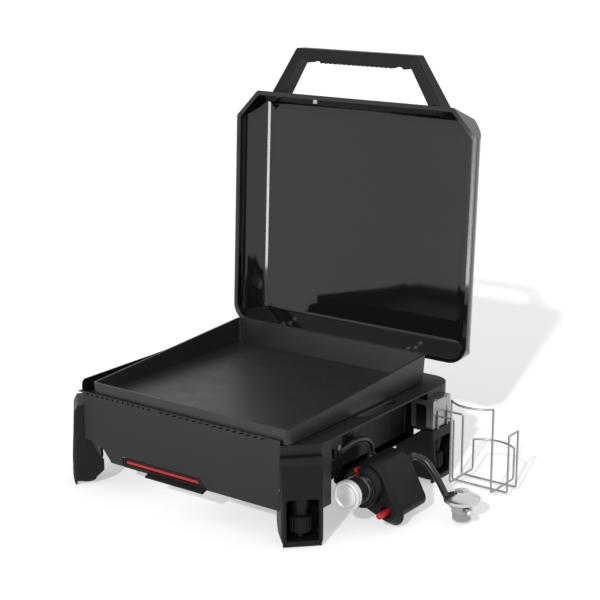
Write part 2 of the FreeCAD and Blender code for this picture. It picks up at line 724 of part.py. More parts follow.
def leg_profile(wing, wing_z):
    """Side view of a leg, outward to the right."""
    low = LEG_CLEARANCE_Z
    tip = PANEL_BOTTOM_Z - 10
    points = [(-LEG_WING, low + 26), (-6, low), (LEG_FOOT_REACH - 2, low), (LEG_FOOT_REACH + 1.5, low + 20),
              (LEG_TOP_REACH + 6, LEG_HEIGHT - 12), (LEG_TOP_REACH, LEG_HEIGHT), (0.0, LEG_HEIGHT), (0.0, wing_z)]
    radii = [4, 6, 5, 30, 8, 3, 0, 0]
    if wing > LEG_WING:
        return points + [(-wing, tip + 13), (-wing, tip)], radii + [5, 5]
    return points + [(-wing, tip)], radii + [6]


def wing_top(wing, wing_z, x):
    """Height of a wing's sloping top edge at x."""
    tip = PANEL_BOTTOM_Z - 10 + (13 if wing > LEG_WING else 0)
    return wing_z + x * (wing_z - tip) / wing


def leg_niche(wing, wing_z, half):
    """Sheet that closes the wheel's niche below, behind and above."""
    back = -NICHE_DEPTH
    front = LEG_FOOT_REACH - LEG_WALL + 0.5
    shelf = WINDOW_TOP_Z + 7
    slope = wing_top(wing, wing_z, 1.0) - wing_z
    reach = front + 10
    outer = [(-14, NICHE_FLOOR_Z), (back, NICHE_FLOOR_Z + 14), (back, wing_top(wing, wing_z, back)),
             ((shelf - wing_z) / slope, shelf), (reach, shelf), (reach, NICHE_FLOOR_Z)]
    t = NICHE_SHEET
    thick = t * sqrt(1 + slope ** 2)
    inner = [(front + 20, NICHE_FLOOR_Z + t), (-13, NICHE_FLOOR_Z + t), (back + t, NICHE_FLOOR_Z + 15.3),
             (back + t, wing_top(wing, wing_z, back + t) - thick), ((shelf - 3 - wing_z + thick) / slope, shelf - 3),
             (front + 20, shelf - 3)]
    return prism_y(outer, -half, half).cut(prism_y(inner, -half - 1, half + 1))


def make_leg(wing, wing_z):
    half = LEG_WIDTH / 2
    points, radii = leg_profile(wing, wing_z)
    wire = outline([(x, -half, z) for x, z in points], radii)
    leg = Part.Face(wire).extrude(V(0, LEG_WIDTH, 0))
    # the face is rounded into the flanks and into the foot
    inside = -wing - 5
    front_plan = prism_z([(inside, -half), (LEG_FOOT_REACH + 1, -half), (LEG_FOOT_REACH + 1, half), (inside, half)],
                         0, LEG_HEIGHT + 5, [0, LEG_EDGE_R, LEG_EDGE_R, 0])
    front_view = prism_x([(-half, LEG_CLEARANCE_Z), (half, LEG_CLEARANCE_Z), (half, LEG_HEIGHT + 5),
                          (-half, LEG_HEIGHT + 5)], inside, LEG_FOOT_REACH + 15, [14, 14, 0, 0])
    leg = leg.common(front_plan).common(front_view)
    inner_half = half - LEG_WALL
    hollow = prism_y([(inside - 1, LEG_CLEARANCE_Z - 4), (LEG_FOOT_REACH - LEG_WALL - 1, LEG_CLEARANCE_Z - 4),
                      (LEG_FOOT_REACH - LEG_WALL, 30), (LEG_TOP_REACH + 5 - LEG_WALL, LEG_HEIGHT - 16),
                      (inside - 1, LEG_HEIGHT - 16)], -inner_half, inner_half, [0, 0, 20, 6, 0])
    form = leg
    leg = leg.cut(hollow)
    sill = box(LEG_FOOT_REACH - LEG_WALL - 3, LEG_FOOT_REACH - LEG_WALL + 1, -inner_half, inner_half,
               LEG_CLEARANCE_Z, LEG_CLEARANCE_Z + 6)
    boss = fuse([rod((WHEEL_AXIS, 0, WINDOW_TOP_Z - 14), Z_AXIS, BOSS_R, 18.5),
                 cone((WHEEL_AXIS, 0, WHEEL_Z + WHEEL_HEIGHT + FIT), Z_AXIS, BOSS_R - 3, BOSS_R,
                      WINDOW_TOP_Z - 14 - WHEEL_Z - WHEEL_HEIGHT - FIT)])
    niche = leg_niche(wing, wing_z, inner_half + 0.5).common(form)
    leg = fuse([leg, sill, niche, boss])
    window_half = WINDOW_WIDTH / 2
    window = prism_x([(-window_half, WINDOW_BOTTOM_Z), (window_half, WINDOW_BOTTOM_Z), (window_half, WINDOW_TOP_Z),
                      (-window_half, WINDOW_TOP_Z)], LEG_TOP_REACH - 4, LEG_TOP_REACH + 36, [3, 3, 5, 5])
    leg = leg.cut(window.cut(rod((WHEEL_AXIS, 0, 0), Z_AXIS, BOSS_R, WINDOW_TOP_Z)))
    stem_bore = rod((WHEEL_AXIS, 0, -1), Z_AXIS, STEM_R + STEM_FIT, LEG_HEIGHT - 30)
    return leg.cut(stem_bore)


def bracket_pocket():
    """Room cut from the rear right leg for the cylinder bracket and its hooks."""
    behind = box(BODY_X + 4, BODY_X + 40, REAR_LEG_Y - 40, REAR_LEG_Y + 40, BRACKET_BOTTOM_Z - 0.5, LEG_HEIGHT + 10)
    beside = box(BODY_X - 5, BODY_X + 40, REAR_LEG_Y - 40, BRACKET_Y + BRACKET_SHEET + 1, BRACKET_BOTTOM_Z - 0.5,
                 LEG_HEIGHT + 10)
    return behind.fuse(beside)


def make_wheel():
    """The ribbed levelling wheel, threaded on the foot's stem."""
    disc = rod((WHEEL_AXIS, 0, WHEEL_Z), Z_AXIS, WHEEL_R - 1.2, WHEEL_HEIGHT)
    ribs = []
    for i in range(WHEEL_RIBS):
        angle = 2 * pi * i / WHEEL_RIBS
        ribs.append(rod((WHEEL_AXIS + (WHEEL_R - 1.8) * cos(angle), (WHEEL_R - 1.8) * sin(angle), WHEEL_Z + 1.5),
                        Z_AXIS, 1.8, WHEEL_HEIGHT - 3))
    wheel = fuse([disc] + ribs)
    return wheel.cut(rod((WHEEL_AXIS, 0, WHEEL_Z - 1), Z_AXIS, STEM_R + STEM_FIT, WHEEL_HEIGHT + 2))


def make_foot():
    """The stem and its pad."""
    pad = rod((WHEEL_AXIS, 0, 0), Z_AXIS, PAD_R, PAD_HEIGHT - 1.5)
    crown = cone((WHEEL_AXIS, 0, PAD_HEIGHT - 1.5), Z_AXIS, PAD_R, PAD_R - 5, 3.5)
    stem = rod((WHEEL_AXIS, 0, 0), Z_AXIS, STEM_R, WINDOW_TOP_Z - 2)
    return fuse([pad, crown, stem])


def make_leg_screws(name):
    heads = []
    for y in (-18.0, 18.0):
        heads.append(put_leg(screw((-HOUSING_WALL, y, LEG_HEIGHT - 10), X_AXIS * -1, 12.0), name))
    return heads


# Grease tray

def make_tray():
    front = -BODY_Y + 8.0
    x0 = TRAY_LEFT + 4
    x1 = TRAY_RIGHT_TOP - 4
    z0 = PANEL_BOTTOM_Z + 4.0
    z1 = TRAY_TOP_Z - 2.0
    outer = prism_z([(x0, front), (x1, front), (x1, front + TRAY_DEPTH), (x0, front + TRAY_DEPTH)], z0, z1, 6.0)
    inner = prism_z([(x0 + TRAY_SHEET, front + TRAY_SHEET), (x1 - TRAY_SHEET, front + TRAY_SHEET),
                     (x1 - TRAY_SHEET, front + TRAY_DEPTH - TRAY_SHEET), (x0 + TRAY_SHEET, front + TRAY_DEPTH - TRAY_SHEET)],
                    z0 + TRAY_SHEET, z1 + 1, 4.5)
    return outer.cut(inner)


def make_tray_front():
    """The tray's moulded face with its pull lip."""
    face = prism_y(tray_front_outline(0.0), -BODY_Y + 0.5, -BODY_Y + 8.0, [1.5, 1.5, 1.5, 1.5])
    scoop = prism_y([(TRAY_LEFT + 5, TRAY_TOP_Z - 11), (TRAY_RIGHT_TOP - 2, TRAY_TOP_Z - 11),
                     (TRAY_RIGHT_TOP - 6, TRAY_TOP_Z - 2.5), (TRAY_LEFT + 5, TRAY_TOP_Z - 2.5)],
                    -BODY_Y - 1, -BODY_Y + 4.0, 1.2)
    lip_x = TRAY_LEFT + 58
    lip = prism_x([(-BODY_Y - 9, PANEL_BOTTOM_Z - 5), (-BODY_Y + 3, PANEL_BOTTOM_Z - 1),
                   (-BODY_Y + 3, PANEL_BOTTOM_Z + 3), (-BODY_Y - 9, PANEL_BOTTOM_Z - 2.5)],
                  lip_x, TRAY_RIGHT_FOOT - 4)
    return fuse([face.cut(scoop), lip])


def make_tray_stripe():
    z0 = TRAY_TOP_Z - 9.5
    return prism_y([(TRAY_LEFT + 6, z0), (TRAY_RIGHT_TOP - 4, z0), (TRAY_RIGHT_TOP - 6, z0 + STRIPE_HEIGHT),
                    (TRAY_LEFT + 6, z0 + STRIPE_HEIGHT)], -BODY_Y + 2.0, -BODY_Y + 4.0)


def make_tray_rails():
    rails = []
    y0 = -BODY_Y + 9.0
    y1 = y0 + TRAY_DEPTH + 6
    for x, side in ((TRAY_LEFT + 4, -1), (TRAY_RIGHT_TOP - 4, 1)):
        z0 = PANEL_BOTTOM_Z + 4.0 - FIT
        wall = box(min(x + side * FIT, x + side * (FIT + 1.5)), max(x + side * FIT, x + side * (FIT + 1.5)),
                   y0, y1, z0 - 1.5, BOX_FLOOR_Z)
        floor = box(min(x - side * 8, x + side * (FIT + 1.5)), max(x - side * 8, x + side * (FIT + 1.5)),
                    y0, y1, z0 - 1.5, z0)
        rails.append(fuse([wall, floor]))
    return group(rails)


# Lid

def lid_solid(inset):
    """The lid's outer form, or its hollow when inset by the wall."""
    x = LID_X - inset
    z0 = LID_RIM_Z - (1.0 if inset else 0.0)
    top = LID_RIM_Z + LID_HEIGHT - inset
    side_r = LID_SIDE_R - inset
    across = prism_y([(-x, z0), (x, z0), (x - 1.0, top), (-x + 1.0, top)],
                     LID_FRONT_Y - 5, LID_REAR_Y + 5, [0, 0, side_r, side_r])
    slope = LID_END_SLOPE / LID_HEIGHT
    shift = inset * sqrt(1 + slope ** 2)
    foot = (LID_RIM_Z - z0) * slope
    run = (top - LID_RIM_Z) * slope
    along = prism_x([(LID_FRONT_Y + shift - foot, z0), (LID_REAR_Y - shift + foot, z0), (LID_REAR_Y - shift - run, top),
                     (LID_FRONT_Y + shift + run, top)], -LID_X - 5, LID_X + 5,
                    [0, 0, LID_END_R - inset, LID_END_R - inset])
    y0 = LID_FRONT_Y + inset
    y1 = LID_REAR_Y - inset
    cx = LID_CHAMFER_X - inset * 0.6
    cy = LID_CHAMFER_Y - inset * 0.6
    rear = LID_REAR_R - inset

    def plan(z, lean):
        points = [(-x + cx + lean, y0), (x - cx - lean, y0), (x, y0 + cy + lean), (x, y1), (-x, y1), (-x, y0 + cy + lean)]
        return outline([(px, py, z) for px, py in points], [9, 9, 7, rear + lean, rear + lean, 7])

    depth = top + 1 - z0
    corners = Part.makeLoft([plan(z0, 0.0), plan(top + 1, LID_CORNER_LEAN * depth)], True, True)
    return across.common(along).common(corners)


def lid_lip():
    """The flat hem round the rim, turned inward."""
    x = LID_X
    y0 = LID_FRONT_Y
    y1 = LID_REAR_Y

    def ring(inset, z0, z1):
        cx = LID_CHAMFER_X - inset * 0.6
        cy = LID_CHAMFER_Y - inset * 0.6
        rear = LID_REAR_R - inset
        return prism_z([(-x + inset + cx, y0 + inset), (x - inset - cx, y0 + inset), (x - inset, y0 + inset + cy),
                        (x - inset, y1 - inset), (-x + inset, y1 - inset), (-x + inset, y0 + inset + cy)], z0, z1,
                       [9, 9, 7, rear, rear, 7])

    z1 = LID_RIM_Z + LID_LIP_HEIGHT
    return ring(0.0, LID_RIM_Z, z1).cut(ring(LID_LIP, LID_RIM_Z - 1, z1 + 1))


def opened(shape):
    """Swing a piece that was drawn closed to the open lid."""
    return turned(shape, (0, HINGE_Y, HINGE_Z), X_AXIS, -OPEN_ANGLE)


def make_lid():
    shell = lid_solid(0.0).cut(lid_solid(LID_WALL))
    lip = lid_lip().common(lid_solid(0.0))
    return fuse([shell, lip])


def make_handle():
    """A trapezoid bow that grows out of the lid's front wall."""
    far = LID_FRONT_Y - HANDLE_REACH
    foot = LID_FRONT_Y + LID_END_SLOPE
    z0 = LID_RIM_Z + HANDLE_RAISE
    z1 = z0 + HANDLE_FOOT_DEPTH
    ext = (foot - LID_FRONT_Y) * (HANDLE_FOOT_HALF - HANDLE_TOP_HALF) / HANDLE_REACH
    outer = prism_z([(-HANDLE_FOOT_HALF - ext, foot), (HANDLE_FOOT_HALF + ext, foot), (HANDLE_TOP_HALF, far),
                     (-HANDLE_TOP_HALF, far)], z0, z1, [0, 0, 5, 5])
    inner_far = far + HANDLE_TOP_BAR
    ext = (foot + 1 - LID_FRONT_Y) * (HANDLE_INNER_FOOT_HALF - HANDLE_INNER_TOP_HALF) / (HANDLE_REACH - HANDLE_TOP_BAR)
    inner = prism_z([(-HANDLE_INNER_FOOT_HALF - ext, foot + 1), (HANDLE_INNER_FOOT_HALF + ext, foot + 1),
                     (HANDLE_INNER_TOP_HALF, inner_far), (-HANDLE_INNER_TOP_HALF, inner_far)], z0 - 1, z1 + 1,
                    [0, 0, 5, 5])
    bow = outer.cut(inner)
    drop = HANDLE_FOOT_DEPTH - HANDLE_BAR_DEPTH
    side = prism_x([(foot + 2, z0), (foot + 2, z1), (LID_FRONT_Y, z1), (far + 10, z1 - drop), (far - 1, z1 - drop),
                    (far - 1, z0)], -HANDLE_FOOT_HALF - 40, HANDLE_FOOT_HALF + 40, [0, 0, 0, 12, 0, 0])
    bow = bow.common(side)
    # soften the long edges of the bar
    edges = []
    for edge in bow.Edges:
        mid = edge.valueAt((edge.FirstParameter + edge.LastParameter) / 2)
        if edge.Length > 2 * HANDLE_INNER_TOP_HALF - 20 and mid.y < far + 3:
            edges.append(edge)
    if edges:
        bow = bow.makeFillet(4.0, edges)
    return bow.cut(lid_solid(0.0))


def make_grip():
    """Toothed insert along the underside of the bar, with a rounded bump near each end."""
    inner_far = LID_FRONT_Y - HANDLE_REACH + HANDLE_TOP_BAR
    z0 = LID_RIM_Z + HANDLE_RAISE + 3.0
    z1 = z0 + HANDLE_BAR_DEPTH - 6.0
    strip = box(-GRIP_LENGTH / 2, GRIP_LENGTH / 2, inner_far, inner_far + 1.2, z0, z1)
    root = inner_far + 0.6
    teeth = []
    for i in range(GRIP_TEETH):
        x = (i - (GRIP_TEETH - 1) / 2) * TOOTH_PITCH
        teeth.append(prism_z([(x - TOOTH_BASE / 2, root), (x + TOOTH_BASE / 2, root), (x, root + TOOTH_HEIGHT)], z0, z1))
    for x in (-GRIP_BUMP_X, GRIP_BUMP_X):
        teeth.append(rod((x, root, z0), Z_AXIS, GRIP_BUMP_R, z1 - z0))
    grip = fuse([strip] + teeth)
    return grip.common(box(-GRIP_LENGTH, GRIP_LENGTH, inner_far, inner_far + 12, z0 - 1, z1 + 1))


def make_handle_screws():
    slope = atan(LID_END_SLOPE / LID_HEIGHT)
    inward = V(0, cos(slope), -sin(slope))
    heads = []
    depth = 16.0
    y = LID_FRONT_Y + LID_WALL / cos(slope) + depth * tan(slope)
    for side in (-1, 1):
        for inset in HANDLE_SCREWS:
            x = side * (HANDLE_FOOT_HALF - inset)
            heads.append(screw((x, y, LID_RIM_Z + depth), inward, 12.0))
    return group(heads)


def make_hinge_leaves():
    """Bent leaves under the lid's rear wall, each with its knuckle on the pin."""
    slope = LID_END_SLOPE / LID_HEIGHT
    t = HINGE_SHEET

    def wall_y(z):
        return LID_REAR_Y - (z - LID_RIM_Z) * slope

    top = LID_RIM_Z + 38.0
    shelf = LID_RIM_Z + 7.0
    leaves = []
    for side in (-1, 1):
        x0 = side * HINGE_X - HINGE_WIDTH / 2
        x1 = x0 + HINGE_WIDTH
        strip = prism_x([(wall_y(top), top), (wall_y(top) + t, top), (wall_y(shelf + t) + t, shelf + t),
                         (HINGE_Y + 2, shelf + t), (HINGE_Y + KNUCKLE_R, shelf - 4), (HINGE_Y + KNUCKLE_R, HINGE_Z),
                         (HINGE_Y + KNUCKLE_R - t, HINGE_Z), (HINGE_Y + KNUCKLE_R - t, shelf - 5),
                         (HINGE_Y, shelf), (wall_y(shelf), shelf)], x0, x1)
        knuckle = rod((x0, HINGE_Y, HINGE_Z), X_AXIS, KNUCKLE_R, HINGE_WIDTH)
        leaf = fuse([strip, knuckle]).cut(rod((x0 - 1, HINGE_Y, HINGE_Z), X_AXIS, PIN_R + PIN_FIT, HINGE_WIDTH + 2))
        leaves.append(leaf.cut(lid_solid(0.0)))
    return group(leaves)


def make_hinge_screws():
    slope = atan(LID_END_SLOPE / LID_HEIGHT)
    inward = V(0, -cos(slope), -sin(slope))
    heads = []
    for side in (-1, 1):
        for dx, depth in ((-6.5, 12.0), (6.5, 18.0), (8.0, 32.0)):
            y = LID_REAR_Y - LID_WALL / cos(slope) - depth * tan(slope)
            heads.append(screw((side * HINGE_X + dx, y, LID_RIM_Z + depth), inward, 4.6))
    return group(heads)


def make_lid_catch():
    """Small bent hook inside the front wall that keeps the closed lid down."""
    slope = LID_END_SLOPE / LID_HEIGHT

    def inner(height):
        return LID_FRONT_Y + height * slope + LID_WALL * sqrt(1 + slope ** 2)

    tip = inner(9) + CATCH_REACH
    profile = [(inner(9) - 0.5, 9), (tip, 9), (tip, 16), (tip - 2, 16), (tip - 2, 11), (inner(11) + 2, 11),
               (inner(26) + 2, 26), (inner(26) - 0.5, 26)]
    hook = prism_x([(y, LID_RIM_Z + h) for y, h in profile], CATCH_X - CATCH_WIDTH / 2, CATCH_X + CATCH_WIDTH / 2)
    return hook.cut(lid_ring_solid())


def lid_ring_solid():
    """The lid's wall alone, to fit things against."""
    return lid_solid(0.0).cut(lid_solid(LID_WALL))


# Hinge on the housing

def make_hinge_brackets():
    """Forked brackets on the rear wall, one each side of every knuckle."""
    brackets = []
    ear = 4.0
    for side in (-1, 1):
        x = side * HINGE_X
        inner = HINGE_WIDTH / 2 + KNUCKLE_GAP
        back = box(x - inner - ear, x + inner + ear, BODY_Y, BODY_Y + 3.0, HINGE_Z - 34, HINGE_Z - 1)
        ears = []
        for s in (-1, 1):
            x0 = x + s * inner if s > 0 else x - inner - ear
            plate = prism_x([(BODY_Y, HINGE_Z - 34), (BODY_Y + 8, HINGE_Z - 34), (HINGE_Y + KNUCKLE_R, HINGE_Z - 6),
                             (HINGE_Y + KNUCKLE_R, HINGE_Z + 5), (HINGE_Y - 6, HINGE_Z + 5), (BODY_Y, HINGE_Z - 1)],
                            x0, x0 + ear, [0, 0, 4, 4, 4, 0])
            ears.append(plate)
        brackets.append(fuse([back] + ears).cut(rod((x - 30, HINGE_Y, HINGE_Z), X_AXIS, PIN_R, 60)))
    return group(brackets)


def make_hinge_pins():
    pins = []
    length = HINGE_WIDTH + 2 * (KNUCKLE_GAP + 4.0) + 3.0
    for side in (-1, 1):
        x = side * HINGE_X - length / 2
        pin = rod((x, HINGE_Y, HINGE_Z), X_AXIS, PIN_R, length)
        head = rod((x - 2.0, HINGE_Y, HINGE_Z), X_AXIS, PIN_R + 2.0, 2.0)
        pins.append(fuse([pin, head]))
    return group(pins)


# Control module

def teardrop(y, big, lobe_x, lobe_z, small):
    """Front view of the module: a large round with a smaller lobe joined by tangents."""
    dx = lobe_x - MODULE_X
    dz = lobe_z - MODULE_Z
    span = sqrt(dx ** 2 + dz ** 2)
    lean = atan2(dz, dx)
    spread = pi / 2 - atan((big - small) / sqrt(span ** 2 - (big - small) ** 2))

    def at(cx, cz, r, angle):
        return V(cx + r * cos(angle), y, cz + r * sin(angle))

    a = at(MODULE_X, MODULE_Z, big, lean + spread)
    b = at(MODULE_X, MODULE_Z, big, lean + pi)
    c = at(MODULE_X, MODULE_Z, big, lean - spread)
    d = at(lobe_x, lobe_z, small, lean - spread)
    e = at(lobe_x, lobe_z, small, lean)
    f = at(lobe_x, lobe_z, small, lean + spread)
    return Part.Wire([Part.Arc(a, b, c).toShape(), Part.LineSegment(c, d).toShape(), Part.Arc(d, e, f).toShape(),
                      Part.LineSegment(f, a).toShape()])


def case_form(inset, y0, y1):
    wire = teardrop(y0, MODULE_R - inset, CASE_LOBE_X, CASE_LOBE_Z, CASE_LOBE_R - inset)
    return Part.Face(wire).extrude(V(0, y1 - y0, 0))


def make_module_housing():
    """The moulded case, open in front where the cover closes it."""
    y0 = FLANGE_Y + FLANGE_THICKNESS
    outer = case_form(0.0, y0, MODULE_REAR - 3.0)
    back = case_form(2.0, MODULE_REAR - 3.0, MODULE_REAR)
    outer = fuse([outer, back])
    sleeve = rod((HOSE_OUTLET[0], MODULE_REAR - 3.0, HOSE_OUTLET[2]), Y_AXIS, HOSE_D / 2 + 1.0,
                 HOSE_OUTLET[1] - MODULE_REAR + 3.0)
    outer = fuse([outer, sleeve])
    inner = case_form(MODULE_WALL, y0 - 1, MODULE_REAR - 3.5)
    stub = rod((GAS_INLET[0] - 10, GAS_INLET[1], GAS_INLET[2] - 12), X_AXIS, VALVE_PIPE_R + FIT, 40)
    return outer.cut([inner, stub])


def make_module_cover():
    """Front cover: a collar round the knob on a flange with the button's recess."""
    y1 = FLANGE_Y + FLANGE_THICKNESS
    flange = Part.makeLoft([teardrop(FLANGE_Y, MODULE_R - 1.0, LOBE_X, LOBE_Z, LOBE_R),
                            teardrop(y1, MODULE_R + 0.5, LOBE_REAR_X, LOBE_REAR_Z, LOBE_REAR_R)], True, True)
    collar = rod((MODULE_X, MODULE_Y + 2.0, MODULE_Z), Y_AXIS, COLLAR_R, FLANGE_Y - MODULE_Y)
    nose = cone((MODULE_X, MODULE_Y, MODULE_Z), Y_AXIS, COLLAR_R - 1.5, COLLAR_R, 2.0)
    boss = cone((LOBE_X, FLANGE_Y - 2.0, LOBE_Z), Y_AXIS, RECESS_R + 3.0, RECESS_R + 4.5, 2.0)
    solid = fuse([flange, collar, nose, boss])
    well = rod((MODULE_X, MODULE_Y - 1, MODULE_Z), Y_AXIS, WELL_R, WELL_DEPTH + 1.0)
    recess = rod((LOBE_X, FLANGE_Y - 3, LOBE_Z), Y_AXIS, RECESS_R, RECESS_DEPTH + 3)
    shaft = rod((MODULE_X, MODULE_Y, MODULE_Z), Y_AXIS, SHAFT_R + 1.0, 50)
    button = rod((LOBE_X, FLANGE_Y - 3, LOBE_Z), Y_AXIS, BUTTON_R + FIT, 30)
    igniter = rod((LOBE_X, y1 - 5.0, LOBE_Z), Y_AXIS, IGNITER_R + FIT, 10)
    valve = rod((MODULE_X, y1 - 8.0, MODULE_Z), Y_AXIS, VALVE_R + FIT, 10)
    return solid.cut([well, recess, shaft, button, igniter, valve])


def make_bezel():
    """Dark ring that lines the knob's well."""
    return tube((MODULE_X, MODULE_Y + 0.6, MODULE_Z), Y_AXIS, WELL_R, BEZEL_WALL, WELL_DEPTH - 0.6)


def make_index_mark():
    """Red mark that folds from the well's edge over the front of the collar."""
    band = rod((MODULE_X, MODULE_Y - 0.4, MODULE_Z), Y_AXIS, COLLAR_R + 0.4, MARK_LENGTH + 0.4)
    keep = box(MODULE_X - MARK_WIDTH / 2, MODULE_X + MARK_WIDTH / 2, MODULE_Y - 1, MODULE_Y + MARK_LENGTH + 1,
               MODULE_Z + WELL_R + 0.5, MODULE_Z + COLLAR_R + 5)
    mark = turned(band.common(keep), (MODULE_X, MODULE_Y, MODULE_Z), Y_AXIS, -MARK_ANGLE)
    return mark.cut(make_module_cover())


def make_knob_skirt():
    """The knob's smooth waist and the hub that grips the shaft."""
    front = KNOB_BACK - KNOB_LENGTH
    waist_y = front + KNOB_CAP
    waist = rod((MODULE_X, waist_y, MODULE_Z), Y_AXIS, KNOB_WAIST_R, KNOB_LENGTH - KNOB_CAP - KNOB_RIM)
    core = rod((MODULE_X, front + 6, MODULE_Z), Y_AXIS, KNOB_WAIST_R - 2, KNOB_CAP - 6)
    hub = rod((MODULE_X, KNOB_BACK - KNOB_RIM, MODULE_Z), Y_AXIS, KNOB_WAIST_R - 2, KNOB_RIM)
    bore = rod((MODULE_X, KNOB_BACK - 14, MODULE_Z), Y_AXIS, SHAFT_R + STEM_FIT, 20)
    return fuse([waist, core, hub]).cut(bore)


def make_knob_rim():
    """The bright ring at the knob's rear edge."""
    y0 = KNOB_BACK - KNOB_RIM
    ring = cone((MODULE_X, y0, MODULE_Z), Y_AXIS, KNOB_R - 1.0, KNOB_R + 0.3, KNOB_RIM)
    return ring.cut(rod((MODULE_X, y0 - 1, MODULE_Z), Y_AXIS, KNOB_WAIST_R - 2, KNOB_RIM + 2))


def make_knob_face():
    """The bright cap: a rolled edge round a dished face with a grooved ring."""
    y0 = KNOB_BACK - KNOB_LENGTH
    sleeve = rod((MODULE_X, y0 + 2.5, MODULE_Z), Y_AXIS, KNOB_R, KNOB_CAP - 2.5)
    dome = cone((MODULE_X, y0, MODULE_Z), Y_AXIS, KNOB_R - 2.5, KNOB_R, 2.5)
    dish = rod((MODULE_X, y0 - 1, MODULE_Z), Y_AXIS, KNOB_R - 4.5, 1.8)
    groove = tube((MODULE_X, y0, MODULE_Z), Y_AXIS, KNOB_R - 6.0, 1.5, 1.7)
    core = rod((MODULE_X, y0 + 6, MODULE_Z), Y_AXIS, KNOB_WAIST_R - 2, 40)
    return fuse([sleeve, dome]).cut([dish, groove, core])


def make_valve_stem():
    return rod((MODULE_X, KNOB_BACK - 14, MODULE_Z), Y_AXIS, SHAFT_R, 14 + 38)


def make_valve_body():
    """Gas valve with the elbow that takes the hose from the burner."""
    y0 = FLANGE_Y + FLANGE_THICKNESS - 7.5
    nose = rod((MODULE_X, y0, MODULE_Z), Y_AXIS, VALVE_R, 24.0)
    body = box(MODULE_X - 13, MODULE_X + 13, y0 + 16, GAS_INLET[1] + 6, MODULE_Z - 14, MODULE_Z + 13)
    pipe_z = GAS_INLET[2] - 12
    pipe = rod((GAS_INLET[0], GAS_INLET[1], pipe_z), X_AXIS, VALVE_PIPE_R, MODULE_X - GAS_INLET[0])
    elbow = rod((GAS_INLET[0], GAS_INLET[1], pipe_z - 7), Z_AXIS, HOSE_D / 2, 19)
    bore = rod((MODULE_X, y0 - 1, MODULE_Z), Y_AXIS, SHAFT_R + STEM_FIT, 30)
    return fuse([nose, body, pipe, elbow]).cut(bore)


def make_button():
    stem = rod((LOBE_X, BUTTON_TIP_Y + 2.0, LOBE_Z), Y_AXIS, BUTTON_R, BUTTON_LENGTH - 2.0)
    crown = cone((LOBE_X, BUTTON_TIP_Y, LOBE_Z), Y_AXIS, BUTTON_R - 1.5, BUTTON_R, 2.0)
    return fuse([stem, crown])


def make_igniter():
    """Piezo unit behind the button, hollow where the button runs in."""
    y0 = FLANGE_Y + FLANGE_THICKNESS - 4.5
    unit = rod((LOBE_X, y0, LOBE_Z), Y_AXIS, IGNITER_R, 44.0)
    depth = BUTTON_TIP_Y + BUTTON_LENGTH + BUTTON_TRAVEL + 1 - y0
    return unit.cut(rod((LOBE_X, y0 - 1, LOBE_Z), Y_AXIS, BUTTON_R + STEM_FIT, depth))


def make_module_bracket():
    """Steel hanger from the rim down beside the module, with bosses that meet the case."""
    x1 = MODULE_X - MODULE_R - 1.0
    x0 = x1 - HANGER_SHEET
    y0 = SIDE_OPENING_FRONT
    y1 = MODULE_Y + 6.0
    plate = prism_x([(y0, RIM_UNDER - 28), (y1 - 22, RIM_UNDER - 28), (y1 - 22, MODULE_Z + 8), (y1, MODULE_Z - 12),
                     (-14.0, MODULE_Z - 12), (-14.0, MODULE_Z + 12), (y1 + 4, MODULE_Z + 16), (y1, MODULE_Z + 30),
                     (y1, RIM_UNDER), (y0, RIM_UNDER)], x0, x1, [3, 4, 6, 6, 3, 3, 6, 6, 0, 0])
    flange = box(x0 - 14, x1, y0, y1, RIM_UNDER - HANGER_SHEET, RIM_UNDER)
    slot = prism_x([(y1 - 14, MODULE_Z + 40), (y1 - 10, MODULE_Z + 40), (y1 - 10, MODULE_Z + 58), (y1 - 14, MODULE_Z + 58)],
                   x0 - 1, x1 + 1, 1.9)
    bosses = []
    for y in (FLANGE_Y + FLANGE_THICKNESS + 8, -26.0):
        bosses.append(rod((x1, y, MODULE_Z), X_AXIS, 5.0, 5.0).cut(case_form(0.0, FLANGE_Y, MODULE_REAR)))
    return fuse([plate.cut(slot), flange] + bosses)


def make_module_screws():
    heads = []
    x0 = MODULE_X - MODULE_R - 1.0 - HANGER_SHEET
    for y in (FLANGE_Y + FLANGE_THICKNESS + 8, -26.0):
        heads.append(screw((x0, y, MODULE_Z), X_AXIS * -1, 9.0))
    heads.append(screw((x0 + HANGER_SHEET, MODULE_Y - 6.0, MODULE_Z + 66), X_AXIS, 3.5))
    return heads


# Bracket and basket for the gas cylinder

